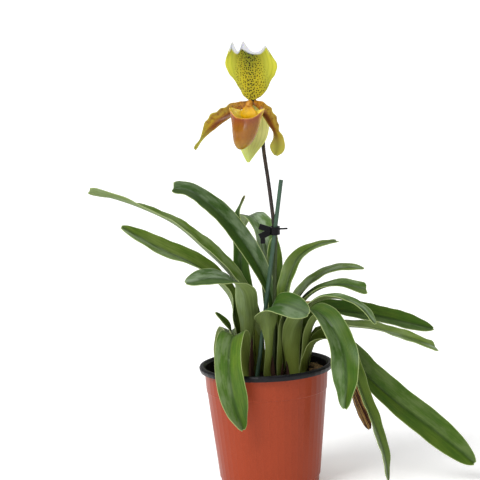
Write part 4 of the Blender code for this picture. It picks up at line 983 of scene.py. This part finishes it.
def dorsal_shape(t, v):
    """Broad upper sepal: hooded, with reflexed lower edges and a crested top."""
    half = flow(DORSAL_HALF_WIDTHS, t)
    up = DORSAL_BASE + (DORSAL_HEIGHT - DORSAL_BASE) * t - 2.5 * v * v * t * t
    up += flow(DORSAL_CREST, v) * smoothstep((t - 0.72) / 0.28)
    hood = 6 * t * t - 2 * t
    rolled = -5.0 * smoothstep((0.75 - t) / 0.75) * min(t * 6, 1) * v * v
    wave = 0.7 * math.sin(7 * t + 2) * v * v * v * min(t * 3, 1)
    return half * v + 1.9 * t, up, 0.4 + hood + rolled + 2.2 * smoothstep((t - 0.6) / 0.4) * v * v + wave


def synsepal_shape(t, v):
    """Joined lower sepals: a boat behind the lip that ends in a point."""
    half = flow(SYNSEPAL_HALF_WIDTHS, t)
    up = -2.1 - (SYNSEPAL_LENGTH - 2.1) * t
    sweep = 0.4 - 2.5 * math.sin(math.pi * min(t * 1.3, 1)) + 8.5 * smoothstep((t - 0.55) / 0.45)
    return half * v - 2 * t * t, up, sweep + 3.0 * v * v * math.sin(math.pi * t)


def tepal(node, shape, rows, columns, material, border=((-1, 0), (1, 0))):
    """Thin sepal from a function of height share and sideways share, with a white border at its top."""
    sizes = bpy.context.scene.orchid_sizes
    across = np.linspace(-1, 1, columns)
    top = np.array([shape(1, v)[1] for v in across])
    depth = np.array([flow(border, v) for v in across])
    grid, x_mm, y_mm, shares, sides, white = [], [], [], [], [], []
    for t in np.linspace(0, 1, rows):
        spots = [shape(t, v) for v in across]
        grid.append([bloom_place(*s) for s in spots])
        x_mm.append([s[0] for s in spots])
        y_mm.append([s[1] for s in spots])
        shares.append([t] * columns)
        sides.append(across)
        white.append(np.clip(depth - (top - y_mm[-1]) + 0.5, 0, 1))
    points, faces, _ = blade(grid, sizes.petal_thickness, 0.4 * MM)
    marks = {
        "x_mm": twice(x_mm), "y_mm": twice(y_mm), "along": twice(shares), "across": twice(sides),
        "white": twice(white)}
    made = make_piece(node + "_fine", points, faces, [material], marks)
    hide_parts(node)


def upper_sepal_material(c):
    """Living sepal, as grown: thin satin tissue that lets light through.

    To the eye it is yellow-green, darker and greener up its middle, with fine lengthwise
    veins, crowded dark spots that shrink outwards, and a white border.
    """
    mat, tree, shader = start_material("upper_sepal", 0.5, IOR=1.42, Specular_IOR_Level=0.2, **TISSUE)
    x, y, t, v, white = marks_of(tree, "x_mm", "y_mm", "along", "across", "white")
    far = add(tree, "Math", x, operation="ABSOLUTE")
    outwards = add(tree, "Math", far, 24.0, operation="DIVIDE")
    body = add(tree, "ValToRGB", outwards, stops=(
        (0.0, shade(c.sepal_deep, 0.85)), (0.3, c.sepal_deep), (0.62, shade(c.sepal_green, 0.85)),
        (1.0, shade(c.sepal_green, 1.15))))
    heart = add(tree, "MapRange", t, 0.45, 0.95, 0.0, 0.95)
    middle = add(tree, "MapRange", far, 3.0, 17.0, 1.0, 0.0)
    veins = add(tree, "Math", add(tree, "Math", v, 40.0, operation="MULTIPLY"), operation="SINE")
    # One spot to each 2 mm, about 1.2 mm across near the middle.
    place = add(tree, "CombineXYZ", x, y)
    cells = add(tree, "TexVoronoi", place, 1 / 2, inputs={"Randomness": 0.8}, voronoi_dimensions="2D")
    shrink = add(tree, "Math", far, 0.012, cells, operation="MULTIPLY_ADD")
    spots = add(tree, "MapRange", shrink, 0.25, 0.4, 1.0, 0.0)
    reach = add(tree, "MapRange", t, 0.6, 0.95, 0.0, 7.0)
    keep = add(tree, "MapRange", add(tree, "Math", far, reach, operation="ADD"), 13.0, 16.5, 1.0, 0.0)
    cover(tree, shader, body, [
        (add(tree, "Math", heart, middle, operation="MULTIPLY"), linear("#46560f")),
        (add(tree, "MapRange", veins, 0.0, 1.0, 0.0, 0.3), linear("#7c8a14")),
        (add(tree, "Math", spots, keep, operation="MULTIPLY"), c.sepal_spot),
        (white, c.sepal_white),
    ])
    emboss(tree, shader, veins, 0.25, 0.1 * MM)
    return mat


def lower_sepal_material(c):
    """Living sepals, as grown together: pale satin tissue with darker lengthwise veins and a green end."""
    mat, tree, shader = start_material("lower_sepal", 0.5, IOR=1.42, Specular_IOR_Level=0.2, **TISSUE)
    t, v = marks_of(tree, "along", "across")
    veins = add(tree, "Math", add(tree, "Math", v, 24.0, operation="MULTIPLY"), operation="SINE")
    cover(tree, shader, c.lower_sepal, [
        (add(tree, "MapRange", veins, 0.2, 1.0, 0.0, 0.3), shade(c.lower_sepal, 0.55)),
        (add(tree, "MapRange", t, 0.5, 1.0, 0.0, 0.7), linear("#a2b436")),
    ])
    emboss(tree, shader, veins, 0.25, 0.1 * MM)
    return mat


def petal_material(c):
    """Living petal, as grown: glossy waxy tissue that lets some light through.

    To the eye it is gold above a brown stripe that runs along it, orange at its root, with
    brown blotches, small dark warts near the root and a green end with a darker middle.
    """
    mat, tree, shader = start_material(
        "petal_skin", 0.32, IOR=1.45, Specular_IOR_Level=0.2, Coat_Weight=0.1, Coat_Roughness=0.2, **TISSUE)
    t, v, x, y = marks_of(tree, "along", "across", "x_mm", "y_mm")
    body = add(tree, "ValToRGB", add(tree, "MapRange", v, -1.0, 1.0, 0.0, 1.0), stops=(
        (0.0, linear("#8a6c20")), (0.14, c.petal_brown), (0.34, c.petal_brown), (0.48, linear("#8a5e16")),
        (0.62, c.petal_gold), (0.9, shade(c.petal_gold, 0.9)), (1.0, linear("#a8a23a"))))
    place = add(tree, "CombineXYZ", x, y)
    # Warts 1.8 mm apart, blotches of about 3 mm and a relief of 1.25 mm.
    cells = add(tree, "TexVoronoi", place, 1 / 1.82, voronoi_dimensions="2D")
    blotch = add(tree, "TexNoise", place, 1 / 2.86, 3.0)
    streaks = add(tree, "TexNoise", place, 1 / 1.25, 4.0)
    middle = add(tree, "MapRange", add(tree, "Math", v, operation="ABSOLUTE"), 0.1, 0.6, 0.7, 0.0)
    green = add(tree, "Mix", middle, c.petal_tip, linear("#6c6a1a"), data_type="RGBA")
    warts = add(tree, "MapRange", cells, 0.14, 0.24, 1.0, 0.0)
    near = add(tree, "MapRange", t, 0.15, 0.5, 0.8, 0.0)
    cover(tree, shader, body, [
        (add(tree, "MapRange", t, 0.08, 0.3, 0.8, 0.0), linear("#b87a1c")),
        (add(tree, "MapRange", blotch, 0.48, 0.66, 0.0, 0.6), c.petal_brown),
        (add(tree, "MapRange", t, 0.6, 0.85, 0.0, 0.95), green),
        (add(tree, "Math", warts, near, operation="MULTIPLY"), linear("#3c1c0a")),
    ])
    emboss(tree, shader, streaks, 0.5, 0.3 * MM)
    return mat


def build_petal(name, side, route, material):
    """Narrow hanging petal with waved edges, in place of the plain one."""
    sizes = bpy.context.scene.orchid_sizes
    rows, columns = 70, 13
    table = np.array(route, float)
    path = smooth_path([bloom_place(*row[:3]) for row in table], np.linspace(0, 1, rows))
    knots = np.linspace(0, 1, len(table))
    front = np.array(bloom_turn() @ Vector((0, -1, 0)))
    halves = list(zip(knots, table[:, 3]))
    rolls = list(zip(knots, table[:, 4]))
    run = travelled(path) / MM
    places = np.linspace(-side, side, columns)
    grid, shares, sides, x_mm, y_mm = [], [], [], [], []
    for i, (centre, way) in enumerate(zip(path, directions(path))):
        t = i / (rows - 1)
        half, roll = flow(halves, t), math.radians(between(rolls, t))
        half *= math.sqrt(max(1 - max((t - 0.93) / 0.07, 0) ** 2 * 0.8, 0.05))
        face = front - way * (front @ way)
        face /= np.linalg.norm(face)
        across = np.cross(way, face) * side
        wide = across * math.cos(roll) + face * math.sin(roll)
        deep = face * math.cos(roll) - across * math.sin(roll)
        row = []
        bumps = 1 + 0.12 * math.sin(44 * t + 2.2 * side) * smoothstep(t * 5) * smoothstep((0.8 - t) * 4)
        for v in places:
            ripple = 0.55 * math.sin(34 * t + 1.3 * side) * max(v * side, 0) ** 2 * (1 - t)
            flat = 0.22 * half * v * v + 0.5 * math.sin(9 * t + 3 * v) * abs(v)
            edge = bumps if v < 0 else 1
            row.append(centre + (wide * (v * half * edge) + deep * (flat + ripple)) * MM)
        grid.append(row)
        shares.append([t] * columns)
        sides.append(-places)
        x_mm.append([run[i]] * columns)
        y_mm.append(-places * half)
    points, faces, _ = blade(grid, sizes.petal_thickness, LEAF_EDGE)
    marks = {"along": twice(shares), "across": twice(sides), "x_mm": twice(x_mm), "y_mm": twice(y_mm)}
    draw = random.Random(name)
    roots, normals, lengths = [], [], []
    for _ in range(PETAL_HAIRS):
        i, edge = draw.randrange(1, 34), draw.choice((0, columns - 1))
        roots.append(grid[i][edge])
        normals.append(Vector(grid[i][edge]) - Vector(grid[i][columns // 2]))
        lengths.append(sizes.hair_length * draw.uniform(0.5, 1.0))
    more, more_faces = hairs(roots, normals, lengths)
    for key, values in marks.items():
        marks[key] = np.concatenate([values, np.full(len(more), 0.2 if key == "along" else 0.0)])
    points, faces = merged((points, faces), (more, more_faces))
    made = make_piece(name + "_fine", points, faces, [material], marks)
    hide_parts(name)


def pouch_point(share, turn, inset):
    """Place on the pouch at a share of the way from its mouth to its toe."""
    knots = np.linspace(0, 1, len(POUCH_ROWS) + 1)
    rows = [(up, forward, half**2, deep**2) for up, forward, half, deep in POUCH_ROWS]
    rows.append((*POUCH_TOE, 0, 0))
    up, forward, half, deep = (flow(list(zip(knots, column)), share) for column in zip(*rows))
    half, deep = math.sqrt(max(half, 0)), math.sqrt(max(deep, 0))
    mouth = max(1 - 3.2 * share, 0)
    sway, dip = math.sin(turn), math.cos(turn)
    ear = mouth * abs(sway) ** 5
    behind = smoothstep(-dip)
    lift = POUCH_EAR_RISE * ear + mouth * (POUCH_BACK_RISE * behind + POUCH_FRONT_RISE * smoothstep(dip))
    right = max(half + POUCH_EAR_FLARE * ear - inset, 0) * sway * (1 - 0.2 * behind * (1 - share))
    right += POUCH_SKEW * share
    return bloom_place(right, up + lift + inset * share, forward + max(deep - inset, 0) * dip)


def lip_material():
    """Living lip, as grown: thick waxy tissue, the glossiest part of the plant.

    To the eye it is amber brown with a reddish band under the mouth, olive at the toe and
    finely mottled, and its ears, its sides at the mouth and its inside are yellow.
    """
    c = bpy.context.scene.orchid_colours
    mat, tree, shader = start_material(
        "lip_skin", 0.25, IOR=1.46, Specular_IOR_Level=0.1, Coat_Weight=0.7, Coat_Roughness=0.12, **TISSUE)
    t, inner, turn = marks_of(tree, "along", "inner", "front")
    body = add(tree, "ValToRGB", t, stops=(
        (0.0, linear("#c88a3a")), (0.05, linear("#8a431c")), (0.3, c.lip_brown), (0.5, c.lip_brown),
        (0.85, c.lip_olive)))
    flank = add(tree, "MapRange", turn, -0.2, 0.45, 1.0, 0.0)
    high = add(tree, "MapRange", t, 0.1, 0.5, 1.0, 0.0)
    ears = add(tree, "Math", flank, high, operation="MULTIPLY")
    # The mottling is about 3 mm across.
    noise = add(tree, "TexNoise", add(tree, "TexCoord").outputs["Object"], 1 / (3.125 * MM), 5.0)
    cover(tree, shader, body, [
        (add(tree, "Math", ears, inner, operation="MAXIMUM"), c.lip_yellow),
        (add(tree, "MapRange", noise, 0.45, 0.7, 0.0, 0.3), linear("#5e2c0e")),
    ])
    emboss(tree, shader, noise, 0.15, 0.1 * MM)
    return mat


def build_pouch():
    """Slipper-shaped lip: a thin glossy bag with an open mouth, eared on both sides, on its claw."""
    rows, around = 34, 48
    skin = rows * around + 1
    places = [((k / rows) ** 0.9, 2 * math.pi * j / around) for k in range(rows) for j in range(around)]
    places.append((1.0, 0.0))
    points, faces, marks = [], [], []
    for layer, inset in enumerate((0, POUCH_WALL)):
        points += [pouch_point(share, turn, inset) for share, turn in places]
        marks += [(share, layer, math.cos(turn)) for share, turn in places]
        first = layer * skin
        for k in range(rows):
            for j in range(around):
                i = (j + 1) % around
                a, b = first + k * around + j, first + k * around + i
                loop = (a, b, first + skin - 1) if k == rows - 1 else (a, b, b + around, a + around)
                faces.append(loop[::-1] if layer == 0 else loop)
    for j in range(around):
        i = (j + 1) % around
        faces.append((j, i, skin + i, skin + j))
    path = np.array([bloom_place(*p) for p in POUCH_CLAW])
    claw = tube(path, [0.9 * MM, 0.8 * MM, 0.7 * MM], 10)
    marks += [(0, 1, 0)] * len(claw[0])
    made = make_piece(
        "pouch_fine", *merged((points, faces), claw), [lip_material()],
        dict(zip(("along", "inner", "front"), zip(*marks))))
    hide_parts("pouch")


def build_column():
    """Short column and the domed shield in front of it, with a notch and a boss."""
    c = bpy.context.scene.orchid_colours
    steps = np.linspace(0, 1, 24)
    path = smooth_path([bloom_place(*p) for p in COLUMN_POINTS], steps)
    knots = [p[2] / COLUMN_POINTS[-1][2] for p in COLUMN_POINTS]
    radii = np.interp(steps, knots, COLUMN_RADII) * np.sqrt(1 - 0.75 * np.clip((steps - 0.8) / 0.2, 0, 1) ** 2)
    stalk = tube(path, radii * MM, 24)
    around = 40
    turns = [2 * math.pi * k / around for k in range(around)]
    shield, ups = [], []
    for forward, grow in STAMINODE_RINGS:
        for turn in turns:
            wide = 0.86 - 0.46 * math.sin(turn)
            notch = 1 - 0.14 * math.exp(-((turn - 1.5 * math.pi) / 0.3) ** 2)
            right = STAMINODE_HALF_WIDTH * grow * math.cos(turn) * wide
            rise = STAMINODE_HALF_HEIGHT * grow * math.sin(turn)
            up = STAMINODE_MIDDLE + rise * notch
            dimple = -0.7 * math.exp(-((right / 1.6) ** 2 + ((up - STAMINODE_MIDDLE - 1) / 1.4) ** 2))
            shield.append(bloom_place(right, up, forward - 0.1 * (up + 2) + dimple))
            ups.append(rise)
    faces = capped_rings(len(STAMINODE_RINGS), around)
    # Living shield and column, as grown: waxy and finely warted, yellow with an amber top.
    mat, tree, shader = plain_material(
        "shield_skin", 0.35, (shade(c.staminode, 0.8), c.staminode, shade(c.staminode, 1.1)), 2.63, relief=0.3 * MM)
    tint(tree, shader, "high", "#b06a14")
    stem, *_ = plain_material("column_skin", 0.4, (linear("#9a6414"), linear("#b87a1c"), linear("#c88c28")), 2.63)
    slots = [1] * len(stalk[1]) + [0] * len(faces)
    high = [1] * len(stalk[0]) + [min(max((up - 0.5) / 5, 0), 0.9) for up in ups]
    made = make_piece("column_fine", *merged(stalk, (shield, faces)), [mat, stem], {"high": high}, slots)
    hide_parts("column")


def build_sheaths(name, table, narrow, mat):
    """Sheaths that stand against the crowns."""
    draw = random.Random(2)
    points, faces = [], []
    for growth, face, width, height in table:
        growth = GROWTHS[growth]
        x, y = growth["at"]
        radius = growth["radius"] + 1.5 * MM
        grid = []
        for t in np.linspace(0, 1, 12):
            half = width / 2 * MM * (1 - narrow * t**1.6)
            row = []
            for v in np.linspace(-1, 1, 7):
                turn = math.radians(face) + v * half / radius
                out = radius + (0.9 * MM * t * t) + draw.uniform(-0.08, 0.08) * MM
                row.append((
                    x + out * math.cos(turn), y + out * math.sin(turn),
                    CROWN_TOP + GAP + height * MM * t * (1 - 0.12 * v * v)))
            grid.append(row)
        points, faces = merged((points, faces), blade(grid, 0.6 * MM, 0.35 * MM)[:2])
    make_piece(name, points, faces, [mat])


def build_studio():
    """Pale floor, soft lights and the camera at the photograph's angle."""
    light = bpy.context.scene.orchid_studio
    c = bpy.context.scene.orchid_colours
    mesh = bpy.data.meshes.new("floor")
    corners = ((-1, -1), (1, -1), (1, 1), (-1, 1))
    mesh.from_pydata([(x * FLOOR_HALF, y * FLOOR_HALF, 0) for x, y in corners], [], [(0, 1, 2, 3)])
    # Opal acrylic, cast and lit from below: matt and almost white, with clouds of 0.33 m.
    mat, tree, shader = start_material(
        "floor_opal_acrylic", 0.7, Emission_Color=(1, 1, 1, 1), Emission_Strength=0.25)
    noise = add(tree, "TexNoise", add(tree, "TexCoord").outputs["Object"], 1 / (333 * MM), 2.0)
    cover(tree, shader, add(tree, "ValToRGB", noise, stops=((0.4, shade(c.floor, 0.99)), (0.6, c.floor))))
    mesh.materials.append(mat)
    put("floor", mesh)
    for name, azimuth, elevation, spread in LIGHTS:
        lamp = bpy.data.lights.new(name + "_light", "SUN")
        lamp.angle = math.radians(spread)
        lamp.energy = getattr(light, name + "_strength")
        made = put(name + "_light", lamp)
        east, high = math.radians(azimuth), math.radians(elevation)
        toward = Vector((math.sin(east) * math.cos(high), -math.cos(east) * math.cos(high), math.sin(high)))
        made.location = toward * 2
        made.rotation_mode = "QUATERNION"
        made.rotation_quaternion = toward.to_track_quat("Z", "Y")
    world = bpy.data.worlds.new("studio")
    world.use_nodes = True
    back = world.node_tree.nodes["Background"]
    back.inputs["Color"].default_value = (1, 1, 1, 1)
    back.inputs["Strength"].default_value = light.ambient
    scene = bpy.context.scene
    scene.world = world
    scene.view_settings.view_transform = "Standard"
    eye = bpy.data.cameras.new("camera")
    eye.sensor_width = CAMERA_SENSOR
    eye.lens = CAMERA_LENS
    scene.camera = put("camera", eye)
    scene.camera.location = CAMERA_PLACE
    scene.camera.rotation_mode = "QUATERNION"
    aim = (Vector(CAMERA_AIM) - Vector(CAMERA_PLACE)).to_track_quat("-Z", "Y")
    scene.camera.rotation_quaternion = aim @ Quaternion((0, 0, 1), CAMERA_ROLL)


class ORCHID_OT_finishes(bpy.types.Operator):
    """Gives the pot, the mix, the rootstock, the stake and the clip their finishes."""

    bl_idname = "orchid.finishes"
    bl_label = "Pot, mix, stake and clip"

    def execute(self, context):
        finish_kept_nodes()
        return {"FINISHED"}


class ORCHID_OT_bark(bpy.types.Operator):
    """Scatters loose bark chips over the mix."""

    bl_idname = "orchid.bark"
    bl_label = "Bark chips"

    def execute(self, context):
        build_chips()
        return {"FINISHED"}


class ORCHID_OT_leaves(bpy.types.Operator):
    """Builds every leaf."""

    bl_idname = "orchid.leaves"
    bl_label = "Leaves"

    def execute(self, context):
        groups = {slot: leaf_materials(slot) for slot in ("leaf_green", "leaf_brown", "leaf_yellow")}
        odd = {"leaf_f_brown": "leaf_brown", "leaf_f_yellowing": "leaf_yellow"}
        for name in LEAVES:
            slot = odd.get(name, "leaf_green")
            made = build_leaf(name, groups[slot])
            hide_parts(name)
        return {"FINISHED"}


class ORCHID_OT_sheaths(bpy.types.Operator):
    """Builds the dry sheaths of lost leaves and the green ones of young growths."""

    bl_idname = "orchid.sheaths"
    bl_label = "Sheaths"

    def execute(self, context):
        c = context.scene.orchid_colours
        # Dead leaf sheath: matt, papery and brown, with fibres 4 mm wide and 30 mm long.
        dry, *_ = plain_material(
            "sheath_dry", 0.8, (linear("#20100a"), c.leaf_dry, linear("#5a4028")), 3.85, (1, 1, 0.12), 0.5 * MM)
        # Living leaf sheath: satin green, with fibres 3 mm wide and 30 mm long.
        green, *_ = plain_material(
            "sheath_green", 0.5, (shade(c.leaf_base, 0.6), c.leaf_base, shade(c.leaf_base, 1.2)), 3.33, (1, 1, 0.1),
            0.2 * MM, Specular_IOR_Level=0.2)
        build_sheaths("old_sheaths", OLD_SHEATHS, 0.85, dry)
        build_sheaths("green_sheaths", GREEN_SHEATHS, 0.6, green)
        return {"FINISHED"}


class ORCHID_OT_stem(bpy.types.Operator):
    """Builds the flower stem and its bract."""

    bl_idname = "orchid.stem"
    bl_label = "Flower stem and bract"

    def execute(self, context):
        build_stem()
        build_bract()
        return {"FINISHED"}


class ORCHID_OT_bloom(bpy.types.Operator):
    """Builds sepals, petals, pouch and column of the bloom."""

    bl_idname = "orchid.bloom"
    bl_label = "Bloom"

    def execute(self, context):
        c = context.scene.orchid_colours
        tepal("dorsal_sepal", dorsal_shape, 61, 61, upper_sepal_material(c), DORSAL_BORDER)
        tepal("lateral_sepals", synsepal_shape, 50, 31, lower_sepal_material(c))
        skin = petal_material(c)
        for name, (side, route) in PETALS.items():
            build_petal(name, side, route, skin)
        build_pouch()
        build_column()
        return {"FINISHED"}


class ORCHID_OT_studio(bpy.types.Operator):
    """Builds the floor, the lights and the camera."""

    bl_idname = "orchid.studio"
    bl_label = "Studio"

    def execute(self, context):
        build_studio()
        return {"FINISHED"}


OPERATORS = (
    ORCHID_OT_finishes, ORCHID_OT_bark, ORCHID_OT_leaves, ORCHID_OT_sheaths, ORCHID_OT_stem, ORCHID_OT_bloom,
    ORCHID_OT_studio)
GROUPS = (
    (OrchidSizes, "orchid_sizes"), (OrchidColours, "orchid_colours"), (OrchidStudio, "orchid_studio"))


class ORCHID_PT_panel(bpy.types.Panel):
    """Settings and steps of the orchid."""

    bl_idname = "ORCHID_PT_panel"
    bl_label = "Slipper orchid"
    bl_space_type = "VIEW_3D"
    bl_region_type = "UI"
    bl_category = "Orchid"

    def draw(self, context):
        for group, place in GROUPS:
            box = self.layout.box()
            for key in group.__annotations__:
                box.prop(getattr(context.scene, place), key)
        for step in OPERATORS:
            self.layout.operator(step.bl_idname)


def register():
    for group, place in GROUPS:
        bpy.utils.register_class(group)
        setattr(bpy.types.Scene, place, PointerProperty(type=group))
    for one in (*OPERATORS, ORCHID_PT_panel):
        bpy.utils.register_class(one)


def unregister():
    for one in reversed((*OPERATORS, ORCHID_PT_panel)):
        bpy.utils.unregister_class(one)
    for group, place in reversed(GROUPS):
        delattr(bpy.types.Scene, place)
        bpy.utils.unregister_class(group)


def main():
    register()
    for step in OPERATORS:
        space, name = step.bl_idname.split(".")
        getattr(getattr(bpy.ops, space), name)()


if __name__ == "__main__":
    main()
